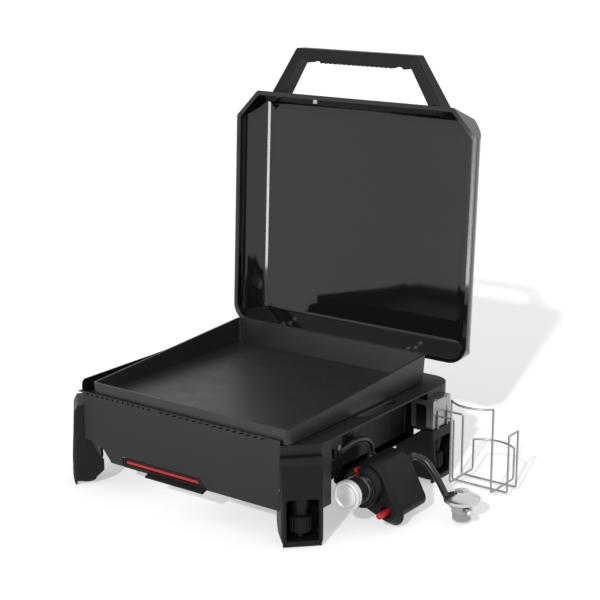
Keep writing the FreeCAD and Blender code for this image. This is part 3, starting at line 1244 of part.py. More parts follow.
def make_cylinder_bracket():
    """Bent plate with two keyholes; its front flange is a frame open below."""
    x0 = BRACKET_X - BRACKET_SHEET
    y0 = BRACKET_Y
    y1 = y0 + BRACKET_LENGTH
    side = prism_x([(y0, BRACKET_BOTTOM_Z), (y1, BRACKET_BOTTOM_Z), (y1, BRACKET_TOP_Z), (y0, BRACKET_TOP_Z)],
                   x0, BRACKET_X, [0, 3, 3, 0])
    left = BRACKET_X - BRACKET_FRONT
    front = prism_y([(left, BRACKET_BOTTOM_Z), (BRACKET_X, BRACKET_BOTTOM_Z), (BRACKET_X, BRACKET_TOP_Z),
                     (left, BRACKET_TOP_Z)], y0, y0 + BRACKET_SHEET)
    window = prism_y([(left + 10, BRACKET_BOTTOM_Z - 5), (BRACKET_X - 14, BRACKET_BOTTOM_Z - 5),
                      (BRACKET_X - 14, BRACKET_TOP_Z - 9), (left + 10, BRACKET_TOP_Z - 9)],
                     y0 - 1, y0 + BRACKET_SHEET + 1, [0, 0, 3, 3])
    top = box(BODY_X, BRACKET_X, y0, y1, BRACKET_TOP_Z - BRACKET_SHEET, BRACKET_TOP_Z)
    wall = box(BODY_X, BODY_X + BRACKET_SHEET, y0, y1, LEG_HEIGHT, BRACKET_TOP_Z)
    cuts = []
    foot = KEY_Z - KEY_HEIGHT / 2 + KEY_R
    for dy in (-KEY_PITCH / 2, KEY_PITCH / 2):
        y = (y0 + y1) / 2 + dy
        cuts.append(rod((x0 - 1, y, foot), X_AXIS, KEY_R, 4))
        cuts.append(prism_x([(y - KEY_R, foot), (y + KEY_R, foot), (y + 2.2, KEY_Z + KEY_HEIGHT / 2),
                             (y - 2.2, KEY_Z + KEY_HEIGHT / 2)], x0 - 1, x0 + 3))
        cuts.append(prism_x([(y - 4, BRACKET_TOP_Z + 1), (y, BRACKET_TOP_Z - 5), (y + 4, BRACKET_TOP_Z + 1)],
                            x0 - 3, x0 + 3))
    return fuse([side, front.cut(window), top, wall]).cut(cuts)


def wire_path(points, radius=5.0):
    """Bent wire with one bend radius."""
    path = bend_path(points, [radius] * (len(points) - 2))
    return sweep(path, WIRE_R)


def bowed(p, q, bow):
    """Three points of a shallow bow between two ends."""
    mid = (p + q) / 2
    return V(p.x, p.y, p.z), mid + bow, V(q.x, q.y, q.z)


def make_basket():
    """Bent wire cradle that hooks into the bracket, drawn from the middle of the bracket's face."""
    near = BASKET_IN
    far = near + BASKET_SIDE
    y0 = -BASKET_SIDE / 2
    y1 = BASKET_SIDE / 2
    z0 = BASKET_Z
    wires = []
    # hoop: tall in front, low behind, closed by two bowed bars
    near_side = wire_path([(near, y0, BASKET_FRONT_Z), (near, y0, z0), (near, y1, z0), (near, y1, BASKET_REAR_Z)])
    far_side = wire_path([(far, y0, BASKET_FRONT_Z), (far, y0, z0), (far, y1, z0), (far, y1, BASKET_REAR_Z)])
    wires += [near_side, far_side]
    for y, z, bow in ((y0, BASKET_FRONT_Z, -BASKET_BOW), (y1, BASKET_REAR_Z, BASKET_BOW)):
        a, m, b = bowed(V(near, y, z), V(far, y, z), V(0, bow, 0))
        arc = Part.Wire([Part.Arc(a, m, b).toShape()])
        wires.append(sweep(arc, WIRE_R))
        for end in (a, b):
            wires.append(Part.makeSphere(WIRE_R * 1.01, end))
    # rails: from the hooks down, out under the hoop, up to the stop loop
    rail_z = z0 - 2 * WIRE_R + 0.2
    inner_x = near - 9.0
    outer_x = far + RAIL_END
    hook_x = -BRACKET_SHEET - HOOK_DEPTH
    left = -KEY_PITCH / 2
    right = KEY_PITCH / 2
    hook_z = KEY_Z - KEY_HEIGHT / 2 + KEY_R
    for y in (left, right):
        wires.append(wire_path([(hook_x, y, hook_z - 9.0), (hook_x, y, hook_z), (inner_x, y, hook_z),
                                (inner_x, y, rail_z), (outer_x, y, rail_z), (outer_x, y, BASKET_STOP_Z)], 4.0))
        wires.append(rod((WIRE_R + FIT, y, hook_z - HOOK_TAIL), Z_AXIS, WIRE_R, HOOK_TAIL))
    wires.append(rod((outer_x, left, BASKET_STOP_Z), Y_AXIS, WIRE_R, right - left))
    for y in (left, right):
        wires.append(Part.makeSphere(WIRE_R * 1.01, V(outer_x, y, BASKET_STOP_Z)))
    return moved(fuse(wires), BRACKET_X, BRACKET_Y + BRACKET_LENGTH / 2, 0)


# Hoses and regulator

def gas_hose_points():
    """Route from the orifice's elbow back under the rim and down into the valve's elbow."""
    x = BOX_RIGHT + 14.0
    y = BURNER_Y + 16.0
    gx, gy, gz = GAS_INLET
    return [(x, y, BURNER_Z), (x, y + 24, BURNER_Z), (x + 1, y + 54, BURNER_Z + 7), (gx, gy - 38, gz + 47),
            (gx, gy - 12, gz + 40), (gx, gy, gz + 22), (gx, gy, gz)]


def make_hose(points, diameter):
    radii = free_radii(points)
    path = bend_path(points, radii)
    hose = sweep(path, diameter / 2)
    exact = pi * (diameter / 2) ** 2 * path.Length
    print("hose length %.1f mm, volume ratio %.4f, least radius %.1f mm, radii %s"
          % (path.Length, hose.Volume / exact, min(radii), [round(r, 1) for r in radii]))
    return hose


def regulator_hose_points():
    """Route from the module's rear sleeve over and down to the regulator."""
    x, y, z = HOSE_OUTLET
    ex, ey, ez = HOSE_INLET
    return [(x, y, z), (x, y + 15, z), (x + 16, y + 26, z - 7), (x + 36, y + 24, z - 25), (ex - 28, ey + 14, ez + 20),
            (ex - 13, ey + 6, ez + 6), (ex, ey, ez)]


def make_regulator_dome():
    """Pressed cap of the regulator, spun about its axis."""
    x, y, z = REGULATOR_X, REGULATOR_Y, DOME_Z
    r = DOME_R
    edges = [Part.LineSegment(V(x, y, z), V(x + r, y, z)).toShape(),
             Part.LineSegment(V(x + r, y, z), V(x + r, y, z + 5.0)).toShape(),
             Part.Arc(V(x + r, y, z + 5.0), V(x + r * 0.72, y, z + 8.0), V(x + r * 0.42, y, z + 14.0)).toShape(),
             Part.LineSegment(V(x + r * 0.42, y, z + 14.0), V(x + r * 0.40, y, z + 18.0)).toShape(),
             Part.LineSegment(V(x + r * 0.40, y, z + 18.0), V(x, y, z + 18.5)).toShape(),
             Part.LineSegment(V(x, y, z + 18.5), V(x, y, z)).toShape()]
    return Part.Face(Part.Wire(edges)).revolve(V(x, y, z), Z_AXIS, 360)


def make_regulator_body():
    """Cast body under the dome, with the hose's nipple and the vent's stub."""
    x, y, z = REGULATOR_X, REGULATOR_Y, DOME_Z
    hexagon = []
    for i in range(6):
        angle = radians(60 * i)
        hexagon.append((x + 20.0 * cos(angle), y + 20.0 * sin(angle)))
    body = prism_z(hexagon, z - 18, z - 2.5, 2.0)
    flange = rod((x, y, z - 3.0), Z_AXIS, DOME_R - 5.5, 3.0)
    stub = rod((x + 12, y - 8, z - 10), VENT_WAY, 6.0, 11)
    neck = rod((x, y, z - 24), Z_AXIS, 8.0, 8.0)
    points = regulator_hose_points()
    way = V(*points[-1]) - V(*points[-2])
    nipple = Part.makeCylinder(HOSE_D / 2, 12.0, V(*points[-1]), way)
    return fuse([body, flange, stub, neck, nipple]).cut(rod((x, y, -1), Z_AXIS, PROBE_R, z - 8))


def make_regulator_nut():
    """Knurled nut that screws onto the cylinder's valve."""
    x, y = REGULATOR_X, REGULATOR_Y
    top = DOME_Z - 18 - FIT
    nut = rod((x, y, NUT_Z), Z_AXIS, NUT_R, top - NUT_Z)
    ribs = []
    for i in range(NUT_RIBS):
        angle = 2 * pi * i / NUT_RIBS
        ribs.append(rod((x + (NUT_R - 0.4) * cos(angle), y + (NUT_R - 0.4) * sin(angle), NUT_Z + 1), Z_AXIS, 1.5,
                        top - NUT_Z - 4))
    nut = fuse([nut] + ribs)
    thread = rod((x, y, NUT_Z - 1), Z_AXIS, THREAD_R, 12.0)
    return nut.cut([thread, rod((x, y, NUT_Z - 1), Z_AXIS, 8.0 + STEM_FIT, 30)])


def make_regulator_probe():
    """Brass pin that opens the cylinder's valve."""
    x, y = REGULATOR_X, REGULATOR_Y
    return fuse([rod((x, y, NUT_Z - 6.0), Z_AXIS, 2.0, 8), rod((x, y, NUT_Z + 1.0), Z_AXIS, PROBE_R, DOME_Z - 10 - NUT_Z)])


def make_vent_plug():
    """Round brass stop on the vent's stub."""
    start = V(REGULATOR_X + 12, REGULATOR_Y - 8, DOME_Z - 10) + VENT_WAY * 11
    stem = Part.makeCylinder(3.4, 3.0, start, VENT_WAY)
    return stem.fuse(Part.makeSphere(5.6, start + VENT_WAY * 6.5)).removeSplitter()


def put_together():
    """Every sub-part by name, still about the housing's middle."""
    nodes = {}
    fasteners = []
    guard, guard_screws = make_wind_guard()
    for x, y in guard_screws:
        fasteners.append(screw((x, y, RIM_Z + GUARD_SHEET), Z_AXIS, RIM_SHEET + GUARD_SHEET + 1))
    for name in LEG_NAMES:
        fasteners += make_leg_screws(name)
    fasteners += make_module_screws()
    nodes["body_shell"] = make_body_shell().cut(fasteners)
    nodes["vent_rim"] = make_vent_rim().cut(fasteners)
    nodes["wind_guard"] = guard
    nodes["firebox"] = make_firebox()
    nodes["heat_shield"] = make_heat_shield()
    nodes["griddle_plate"] = make_plate()
    nodes["plate_rests"] = make_plate_rests()
    nodes["burner_tube"] = make_burner()
    nodes["burner_brackets"] = make_burner_brackets()
    nodes["venturi_tube"] = make_venturi()
    nodes["gas_orifice"] = make_orifice()
    nodes["igniter_electrode"] = make_electrode()
    for name in LEG_NAMES:
        leg = put_leg(make_leg(*leg_wing(name)), name).cut(fasteners)
        if name == "rear_right":
            leg = leg.cut(bracket_pocket())
        nodes["leg_" + name] = leg
        nodes["levelling_wheel_" + name] = put_leg(make_wheel(), name)
        nodes["foot_" + name] = put_leg(make_foot(), name)
    nodes["mounting_screws"] = group(fasteners)
    nodes["grease_tray"] = make_tray()
    nodes["tray_front"] = make_tray_front()
    nodes["tray_stripe"] = make_tray_stripe()
    nodes["tray_rails"] = make_tray_rails()
    handle_screws = make_handle_screws()
    hinge_screws = make_hinge_screws()
    nodes["lid_shell"] = opened(make_lid().cut([handle_screws, hinge_screws]))
    nodes["lid_handle"] = opened(make_handle().cut(handle_screws))
    nodes["handle_grip"] = opened(make_grip())
    nodes["handle_screws"] = opened(handle_screws)
    nodes["hinge_leaves"] = opened(make_hinge_leaves().cut(hinge_screws))
    nodes["hinge_screws"] = opened(hinge_screws)
    nodes["lid_catch"] = opened(make_lid_catch())
    nodes["hinge_brackets"] = make_hinge_brackets()
    nodes["hinge_pins"] = make_hinge_pins()
    nodes["module_housing"] = make_module_housing().cut(fasteners)
    nodes["module_cover"] = make_module_cover()
    nodes["knob_bezel"] = make_bezel()
    nodes["index_mark"] = make_index_mark()
    nodes["knob_skirt"] = make_knob_skirt()
    nodes["knob_rim"] = make_knob_rim()
    nodes["knob_face"] = make_knob_face()
    nodes["valve_stem"] = make_valve_stem()
    nodes["valve_body"] = make_valve_body()
    nodes["ignition_button"] = make_button()
    nodes["igniter_unit"] = make_igniter()
    nodes["module_bracket"] = make_module_bracket().cut(fasteners)
    nodes["cylinder_bracket"] = make_cylinder_bracket()
    nodes["cylinder_basket"] = make_basket()
    nodes["gas_hose"] = make_hose(gas_hose_points(), HOSE_D)
    nodes["regulator_hose"] = make_hose(regulator_hose_points(), HOSE_D)
    nodes["regulator_dome"] = make_regulator_dome()
    nodes["regulator_body"] = make_regulator_body()
    nodes["regulator_nut"] = make_regulator_nut()
    nodes["regulator_probe"] = make_regulator_probe()
    nodes["vent_plug"] = make_vent_plug()
    return nodes


CORD_NODES = ["gas_hose", "regulator_hose", "regulator_dome", "regulator_body", "regulator_nut", "regulator_probe",
              "vent_plug"]


def base_centre(nodes):
    """Middle of the base of everything that isn't on a hose."""
    whole = None
    for name, shape in nodes.items():
        if name in CORD_NODES:
            continue
        bounds = shape.optimalBoundingBox(False, False)
        whole = bounds if whole is None else whole.united(bounds)
    return V((whole.XMin + whole.XMax) / 2, (whole.YMin + whole.YMax) / 2, whole.ZMin)


nodes = put_together()
origin = base_centre(nodes)
os.makedirs("parts", exist_ok=True)
for name, shape in nodes.items():
    moved(shape, -origin.x, -origin.y, -origin.z).exportStep("parts/" + name + ".step")
print("nodes", len(nodes), "origin", round(origin.x, 3), round(origin.y, 3), round(origin.z, 3))
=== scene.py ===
# %% [markdown]
# # A table-top gas griddle, dressed for its portrait
#
# The griddle arrives as a finished CAD model: every sheet, leg, wheel and
# hinge already has its real size and place. This file gives it what CAD
# leaves out: powder coat, glossy enamel, seasoned steel, moulded plastic,
# chrome, rubber hoses that bend, screw heads with a driver recess, and a
# plain white studio to stand in. All lengths are in metres.

# %% Load the fixed frame
import json
import math

import bmesh
import bpy
from mathutils import Matrix, Vector


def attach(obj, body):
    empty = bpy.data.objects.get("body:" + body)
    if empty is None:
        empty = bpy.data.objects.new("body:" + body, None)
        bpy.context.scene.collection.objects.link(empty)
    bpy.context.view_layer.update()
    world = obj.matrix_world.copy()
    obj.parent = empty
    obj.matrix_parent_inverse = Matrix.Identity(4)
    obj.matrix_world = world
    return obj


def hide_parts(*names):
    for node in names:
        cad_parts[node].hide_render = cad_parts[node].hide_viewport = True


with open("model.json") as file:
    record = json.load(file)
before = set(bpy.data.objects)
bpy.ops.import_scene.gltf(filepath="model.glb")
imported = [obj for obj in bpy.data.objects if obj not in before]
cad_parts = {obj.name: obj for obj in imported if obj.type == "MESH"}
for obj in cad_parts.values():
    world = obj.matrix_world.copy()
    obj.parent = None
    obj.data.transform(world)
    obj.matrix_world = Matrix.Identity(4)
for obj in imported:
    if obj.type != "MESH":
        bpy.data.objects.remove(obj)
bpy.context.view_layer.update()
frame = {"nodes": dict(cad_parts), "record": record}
nodes = frame["nodes"]

# %% [markdown]
# ## The camera
# The photograph was taken from the front right, a little above the table,
# with a long lens. Its place was solved from the straight edges of the
# cooking plate. Setting the camera first means that every later piece can be
# judged from the angle that matters.

# %% Camera at the photograph's angle
CAMERA_PLACE = Vector((1.4909, -2.0718, 1.006))
CAMERA_AZIMUTH = math.radians(36.02)
CAMERA_ELEVATION = math.radians(14.84)
LENS_MM = 88.92
SENSOR_MM = 36.0

backwards = Vector((
    math.sin(CAMERA_AZIMUTH) * math.cos(CAMERA_ELEVATION),
    -math.cos(CAMERA_AZIMUTH) * math.cos(CAMERA_ELEVATION),
    math.sin(CAMERA_ELEVATION),
))
camera_data = bpy.data.cameras.new("photo_camera")
camera_data.lens = LENS_MM
camera_data.sensor_width = SENSOR_MM
camera_data.clip_end = 200.0
camera = bpy.data.objects.new("photo_camera", camera_data)
camera.location = CAMERA_PLACE
camera.rotation_mode = "QUATERNION"
camera.rotation_quaternion = (-backwards).to_track_quat("-Z", "Y")
bpy.context.scene.collection.objects.link(camera)
bpy.context.scene.camera = camera
print("camera at", [round(c, 3) for c in camera.location])

# %% [markdown]
# ## The studio
# The photograph shows the griddle on pure white with one pale shadow that
# falls away to the back right. A sun gives that shadow everywhere at the same
# strength, which an area lamp could not. Its direction comes from the lid's
# far corner and the corner of its shadow. A narrow softbox stands low in
# front. It only draws the bright streak down the lid's rounded side, so it is
# hidden from diffuse light, and it stands far enough to the left that the
# lid's flat back doesn't mirror it. The world is grey for diffuse light
# and white for the camera and for reflections, so black gloss and chrome show
# a white room.

# %% World: grey light, white to the eye
AMBIENT_STRENGTH = 0.40

world = bpy.data.worlds.new("white_room")
bpy.context.scene.world = world
world.use_nodes = True
tree = world.node_tree
tree.nodes.clear()
paths = tree.nodes.new("ShaderNodeLightPath")
seen = tree.nodes.new("ShaderNodeMath")
seen.operation = "MAXIMUM"
seen_or_through = tree.nodes.new("ShaderNodeMath")
seen_or_through.operation = "MAXIMUM"
ambient = tree.nodes.new("ShaderNodeBackground")
ambient.inputs["Color"].default_value = (1, 1, 1, 1)
ambient.inputs["Strength"].default_value = AMBIENT_STRENGTH
white = tree.nodes.new("ShaderNodeBackground")
white.inputs["Color"].default_value = (1, 1, 1, 1)
white.inputs["Strength"].default_value = 1.0
choose = tree.nodes.new("ShaderNodeMixShader")
world_output = tree.nodes.new("ShaderNodeOutputWorld")
tree.links.new(paths.outputs["Is Camera Ray"], seen.inputs[0])
tree.links.new(paths.outputs["Is Glossy Ray"], seen.inputs[1])
tree.links.new(seen.outputs[0], seen_or_through.inputs[0])
tree.links.new(paths.outputs["Is Transmission Ray"], seen_or_through.inputs[1])
tree.links.new(seen_or_through.outputs[0], choose.inputs[0])
tree.links.new(ambient.outputs[0], choose.inputs[1])
tree.links.new(white.outputs[0], choose.inputs[2])
tree.links.new(choose.outputs[0], world_output.inputs["Surface"])
bpy.context.scene.view_settings.view_transform = "Standard"
print("world ready, ambient", AMBIENT_STRENGTH)

# %% Sun and one tall softbox
SHADOW_DIRECTION = Vector((-0.485, 1.63, -1.0))
SUN_STRENGTH = 1.7
SUN_SOFTNESS = math.radians(2.2)
SOFTBOX_PLACE = Vector((-0.56, -1.47, 0.285))
SOFTBOX_AIM = Vector((-0.30, 0.28, 0.285))
SOFTBOX_WIDTH, SOFTBOX_HEIGHT = 0.34, 0.56
SOFTBOX_POWER = 9.5


def add_lamp(name, kind, place, direction):
    """A lamp of one kind that shines along a direction."""
    data = bpy.data.lights.new(name, kind)
    lamp = bpy.data.objects.new(name, data)
    lamp.location = place
    lamp.rotation_mode = "QUATERNION"
    lamp.rotation_quaternion = direction.to_track_quat("-Z", "Y")
    bpy.context.scene.collection.objects.link(lamp)
    return lamp


sun = add_lamp("studio_sun", "SUN", Vector((1, -2, 3)), SHADOW_DIRECTION).data
sun.energy = SUN_STRENGTH
sun.angle = SUN_SOFTNESS
softbox_lamp = add_lamp("tall_softbox", "AREA", SOFTBOX_PLACE, SOFTBOX_AIM - SOFTBOX_PLACE)
softbox_lamp.visible_camera = False
softbox_lamp.visible_diffuse = False
softbox = softbox_lamp.data
softbox.shape = "RECTANGLE"
softbox.size = SOFTBOX_WIDTH
softbox.size_y = SOFTBOX_HEIGHT
softbox.energy = SOFTBOX_POWER
print("sun falls", math.degrees(math.asin(1.0 / SHADOW_DIRECTION.length)), "degrees above the floor")

# %% [markdown]
# ## The floor
# A studio sweep would be a bent sheet; with a camera this high a flat white
# floor fills the frame, so a plane is enough. It glows a little for the
# camera alone. That lifts the lit part to pure white and leaves the shadow a
# pale grey, as in the photograph, with no extra light on the griddle.

# %% White floor that keeps the shadow
FLOOR_HALF = 40.0
FLOOR_COLOUR = (0.93, 0.93, 0.93, 1.0)
FLOOR_GLOW = 0.47

floor_mesh = bpy.data.meshes.new("studio_floor")
corners = [(x * FLOOR_HALF, y * FLOOR_HALF, 0) for x, y in ((-1, -1), (1, -1), (1, 1), (-1, 1))]
floor_mesh.from_pydata(corners, [], [(0, 1, 2, 3)])
floor = bpy.data.objects.new("studio_floor", floor_mesh)
bpy.context.scene.collection.objects.link(floor)
floor_paint = bpy.data.materials.new("floor_paint")
floor_paint.use_nodes = True
tree = floor_paint.node_tree
tree.nodes.clear()
paths = tree.nodes.new("ShaderNodeLightPath")
seen = tree.nodes.new("ShaderNodeMath")
seen.operation = "MAXIMUM"
glow_amount = tree.nodes.new("ShaderNodeMath")
glow_amount.operation = "MULTIPLY"
glow_amount.inputs[1].default_value = FLOOR_GLOW
matte = tree.nodes.new("ShaderNodeBsdfDiffuse")
matte.inputs["Color"].default_value = FLOOR_COLOUR
glow = tree.nodes.new("ShaderNodeEmission")
both = tree.nodes.new("ShaderNodeAddShader")
floor_output = tree.nodes.new("ShaderNodeOutputMaterial")
tree.links.new(paths.outputs["Is Camera Ray"], seen.inputs[0])
tree.links.new(paths.outputs["Is Glossy Ray"], seen.inputs[1])
tree.links.new(seen.outputs[0], glow_amount.inputs[0])
tree.links.new(glow_amount.outputs[0], glow.inputs["Strength"])
tree.links.new(matte.outputs[0], both.inputs[0])
tree.links.new(glow.outputs[0], both.inputs[1])
tree.links.new(both.outputs[0], floor_output.inputs["Surface"])
floor_mesh.materials.append(floor_paint)
print("floor", 2 * FLOOR_HALF, "m wide")

# %% [markdown]
# ## Effects that several finishes share
# Powder coat, enamel, plastic and rubber differ in colour and gloss, but they
# all have a fine grain, a slow drift in gloss where hands and heat have been,
# and a thin film of dust on faces that look up. Each effect is a node group
# built once, with named inputs, and every material sets its own amounts.

# %% Helpers for node groups


def new_group(name, inputs, outputs):
    """A shader node group with typed inputs and outputs; returns it with its two end nodes."""
    group = bpy.data.node_groups.new(name, "ShaderNodeTree")
    for label, kind, value in inputs:
        socket = group.interface.new_socket(label, in_out="INPUT", socket_type=kind)
        socket.default_value = value
    for label, kind in outputs:
        group.interface.new_socket(label, in_out="OUTPUT", socket_type=kind)
    start = group.nodes.new("NodeGroupInput")
    end = group.nodes.new("NodeGroupOutput")
    return group, start, end


def math_node(group, operation, first, second):
    """The result of a Math node whose two inputs are sockets or plain numbers."""
    node = group.nodes.new("ShaderNodeMath")
    node.operation = operation
    for slot, value in zip(node.inputs, (first, second)):
        if isinstance(value, (int, float)):
            slot.default_value = value
        else:
            group.links.new(value, slot)
    return node.outputs[0]


print("group helpers ready")

# %% [markdown]
# Grain and drift both come from one noise texture. Grain is so small that it
# only shows as bumps. Drift is as wide as a hand and only changes the gloss,
# between a low and a high value.

# %% Grain and drift groups


def make_grain_group():
    """Fine bumps, as in powder coat or moulded plastic. Cell is the size of one bump in metres."""
    group, start, end = new_group(
        "fine_grain",
        [("Cell", "NodeSocketFloat", 0.0008), ("Height", "NodeSocketFloat", 0.00002)],
        [("Normal", "NodeSocketVector"), ("Height", "NodeSocketFloat")],
    )
    coordinates = group.nodes.new("ShaderNodeTexCoord")
    noise = group.nodes.new("ShaderNodeTexNoise")
    noise.inputs["Detail"].default_value = 2.0
    scale = math_node(group, "DIVIDE", 1.0, start.outputs["Cell"])
    bump = group.nodes.new("ShaderNodeBump")
    bump.inputs["Strength"].default_value = 1.0
    group.links.new(coordinates.outputs["Object"], noise.inputs["Vector"])
    group.links.new(scale, noise.inputs["Scale"])
    group.links.new(noise.outputs["Fac"], bump.inputs["Height"])
    group.links.new(start.outputs["Height"], bump.inputs["Distance"])
    group.links.new(bump.outputs["Normal"], end.inputs["Normal"])
    group.links.new(noise.outputs["Fac"], end.inputs["Height"])
    return group


def make_drift_group():
    """A slow drift between two values, as where gloss changes from patch to patch."""
    group, start, end = new_group(
        "slow_drift",
        [("Patch", "NodeSocketFloat", 0.08), ("Low", "NodeSocketFloat", 0.35),
         ("High", "NodeSocketFloat", 0.45)],
        [("Value", "NodeSocketFloat")],
    )
    coordinates = group.nodes.new("ShaderNodeTexCoord")
    noise = group.nodes.new("ShaderNodeTexNoise")
    noise.inputs["Detail"].default_value = 5.0
    noise.inputs["Roughness"].default_value = 0.6
    scale = math_node(group, "DIVIDE", 1.0, start.outputs["Patch"])
    span = group.nodes.new("ShaderNodeMapRange")
    span.inputs["From Min"].default_value = 0.3
    span.inputs["From Max"].default_value = 0.7
    group.links.new(coordinates.outputs["Object"], noise.inputs["Vector"])
    group.links.new(scale, noise.inputs["Scale"])
    group.links.new(noise.outputs["Fac"], span.inputs["Value"])
    group.links.new(start.outputs["Low"], span.inputs["To Min"])
    group.links.new(start.outputs["High"], span.inputs["To Max"])
    group.links.new(span.outputs["Result"], end.inputs["Value"])
    return group


fine_grain = make_grain_group()
slow_drift = make_drift_group()
print("groups:", fine_grain.name, slow_drift.name)

# %% [markdown]
# Dust settles only where a face looks up, so its amount is the normal's upward
# part, broken into soft patches by noise. It lightens the colour and nothing
# else.

# %% Dust group


def make_dust_group():
    """A thin film of dust on faces that look up, broken into soft patches."""
    group, start, end = new_group(
        "dust_film",
        [("Color", "NodeSocketColor", (0.02, 0.02, 0.02, 1)),
         ("Dust", "NodeSocketColor", (0.30, 0.29, 0.27, 1)),
         ("Amount", "NodeSocketFloat", 0.02)],
        [("Color", "NodeSocketColor")],
    )
    geometry = group.nodes.new("ShaderNodeNewGeometry")
    parts = group.nodes.new("ShaderNodeSeparateXYZ")
    coordinates = group.nodes.new("ShaderNodeTexCoord")
    noise = group.nodes.new("ShaderNodeTexNoise")
    noise.inputs["Scale"].default_value = 22.0
    noise.inputs["Detail"].default_value = 6.0
    blend = group.nodes.new("ShaderNodeMix")
    blend.data_type = "RGBA"
    group.links.new(geometry.outputs["Normal"], parts.inputs[0])
    group.links.new(coordinates.outputs["Object"], noise.inputs["Vector"])
    facing_up = math_node(group, "MAXIMUM", parts.outputs["Z"], 0.0)
    patches = math_node(group, "MULTIPLY", facing_up, noise.outputs["Fac"])
    amount = math_node(group, "MULTIPLY", patches, start.outputs["Amount"])
    group.links.new(amount, blend.inputs["Factor"])
    group.links.new(start.outputs["Color"], blend.inputs["A"])
    group.links.new(start.outputs["Dust"], blend.inputs["B"])
    group.links.new(blend.outputs["Result"], end.inputs["Color"])
    return group


dust_film = make_dust_group()
print("group:", dust_film.name)

# %% [markdown]
# Brushed and drawn metal has fine parallel lines. They come from one noise
# texture that is squeezed hard across the brushing direction, so the same
# group serves the plated bracket, the drawn basket wire and the tray.

# %% Brushed-line group


def make_brushed_group():
    """Fine parallel lines along one axis. Squeeze is the scale along x, y and z."""
    group, start, end = new_group(
        "brushed_lines",
        [("Squeeze", "NodeSocketVector", (40.0, 1200.0, 1200.0)), ("Low", "NodeSocketFloat", 0.22),
         ("High", "NodeSocketFloat", 0.42), ("Height", "NodeSocketFloat", 0.00001)],
        [("Roughness", "NodeSocketFloat"), ("Normal", "NodeSocketVector")],
    )
    coordinates = group.nodes.new("ShaderNodeTexCoord")
    stretch = group.nodes.new("ShaderNodeVectorMath")
    stretch.operation = "MULTIPLY"
    noise = group.nodes.new("ShaderNodeTexNoise")
    noise.inputs["Scale"].default_value = 1.0
    noise.inputs["Detail"].default_value = 3.0
    span = group.nodes.new("ShaderNodeMapRange")
    span.inputs["From Min"].default_value = 0.3
    span.inputs["From Max"].default_value = 0.7
    bump = group.nodes.new("ShaderNodeBump")
    group.links.new(coordinates.outputs["Object"], stretch.inputs[0])
    group.links.new(start.outputs["Squeeze"], stretch.inputs[1])
    group.links.new(stretch.outputs[0], noise.inputs["Vector"])
    group.links.new(noise.outputs["Fac"], span.inputs["Value"])
    group.links.new(start.outputs["Low"], span.inputs["To Min"])
    group.links.new(start.outputs["High"], span.inputs["To Max"])
    group.links.new(noise.outputs["Fac"], bump.inputs["Height"])
    group.links.new(start.outputs["Height"], bump.inputs["Distance"])
    group.links.new(span.outputs["Result"], end.inputs["Roughness"])
    group.links.new(bump.outputs["Normal"], end.inputs["Normal"])
    return group


brushed_lines = make_brushed_group()
print("group:", brushed_lines.name)

# %% [markdown]
# ## The finishes
# Each material is a Principled shader with its plain numbers on its own
# sockets, and the shared groups plugged in where something changes over the
# surface. Black surfaces in a white room get most of their grey from the
# reflection, so their own colour is kept very dark.

# %% A helper for finishes


def new_finish(name, colour, metallic=0.0, specular=0.5):
    """A material with one Principled shader; returns the material, its tree and the shader."""
    material = bpy.data.materials.new(name)
    material.use_nodes = True
    shader = material.node_tree.nodes["Principled BSDF"]
    shader.inputs["Base Color"].default_value = (*colour, 1.0)
    shader.inputs["Metallic"].default_value = metallic
    shader.inputs["Specular IOR Level"].default_value = specular
    material.diffuse_color = (*colour, 1.0)
    return material, material.node_tree, shader


def place_group(tree, group, **values):
    """One use of a shared group, with its own values."""
    node = tree.nodes.new("ShaderNodeGroup")
    node.node_tree = group
    for label, value in values.items():
        node.inputs[label].default_value = value
    return node


def grained_finish(name, colour, cell, height, gloss, patch=0.08, dust=0.03, specular=0.5):
    """A non-metal with fine grain, drifting gloss and a dust film."""
    material, tree, shader = new_finish(name, colour, specular=specular)
    grain = place_group(tree, fine_grain, Cell=cell, Height=height)
    drift = place_group(tree, slow_drift, Patch=patch, Low=gloss[0], High=gloss[1])
    dusty = place_group(tree, dust_film, Color=(*colour, 1.0), Amount=dust)
    tree.links.new(grain.outputs["Normal"], shader.inputs["Normal"])
    tree.links.new(drift.outputs["Value"], shader.inputs["Roughness"])
    tree.links.new(dusty.outputs["Color"], shader.inputs["Base Color"])
    return material


print("helpers ready")

# %% [markdown]
# The housing is steel with a satin powder coat, which dries into a very fine
# pebble. The lid is enamelled: nearly a mirror, with the long soft waves that
# fired glass has. The legs, handle and control module are moulded plastic
# with a spark-eroded grain.

# %% Coated steel, enamel, plastic, rubber
finishes = {}
finishes["satin_black_steel"] = grained_finish(
    "satin_black_steel", (0.0075, 0.0077, 0.0078), 0.0009, 0.00003, (0.38, 0.48), dust=0.02, specular=0.28)
finishes["gloss_black_lid"] = grained_finish(
    "gloss_black_lid", (0.008, 0.0082, 0.0085), 0.016, 0.00001, (0.045, 0.08), patch=0.15, dust=0.01)
finishes["black_plastic"] = grained_finish(
    "black_plastic", (0.0045, 0.0047, 0.0048), 0.0007, 0.00004, (0.44, 0.56), dust=0.012, specular=0.19)
finishes["grip_rubber"] = grained_finish(
    "grip_rubber", (0.010, 0.010, 0.010), 0.0005, 0.00003, (0.6, 0.72), dust=0.03, specular=0.3)
finishes["hose_rubber"] = grained_finish(
    "hose_rubber", (0.012, 0.012, 0.0122), 0.0006, 0.00001, (0.26, 0.36), patch=0.02, dust=0.02)
finishes["red_plastic"] = grained_finish(
    "red_plastic", (0.56, 0.012, 0.014), 0.0009, 0.000008, (0.24, 0.32), patch=0.02, dust=0.01, specular=0.4)
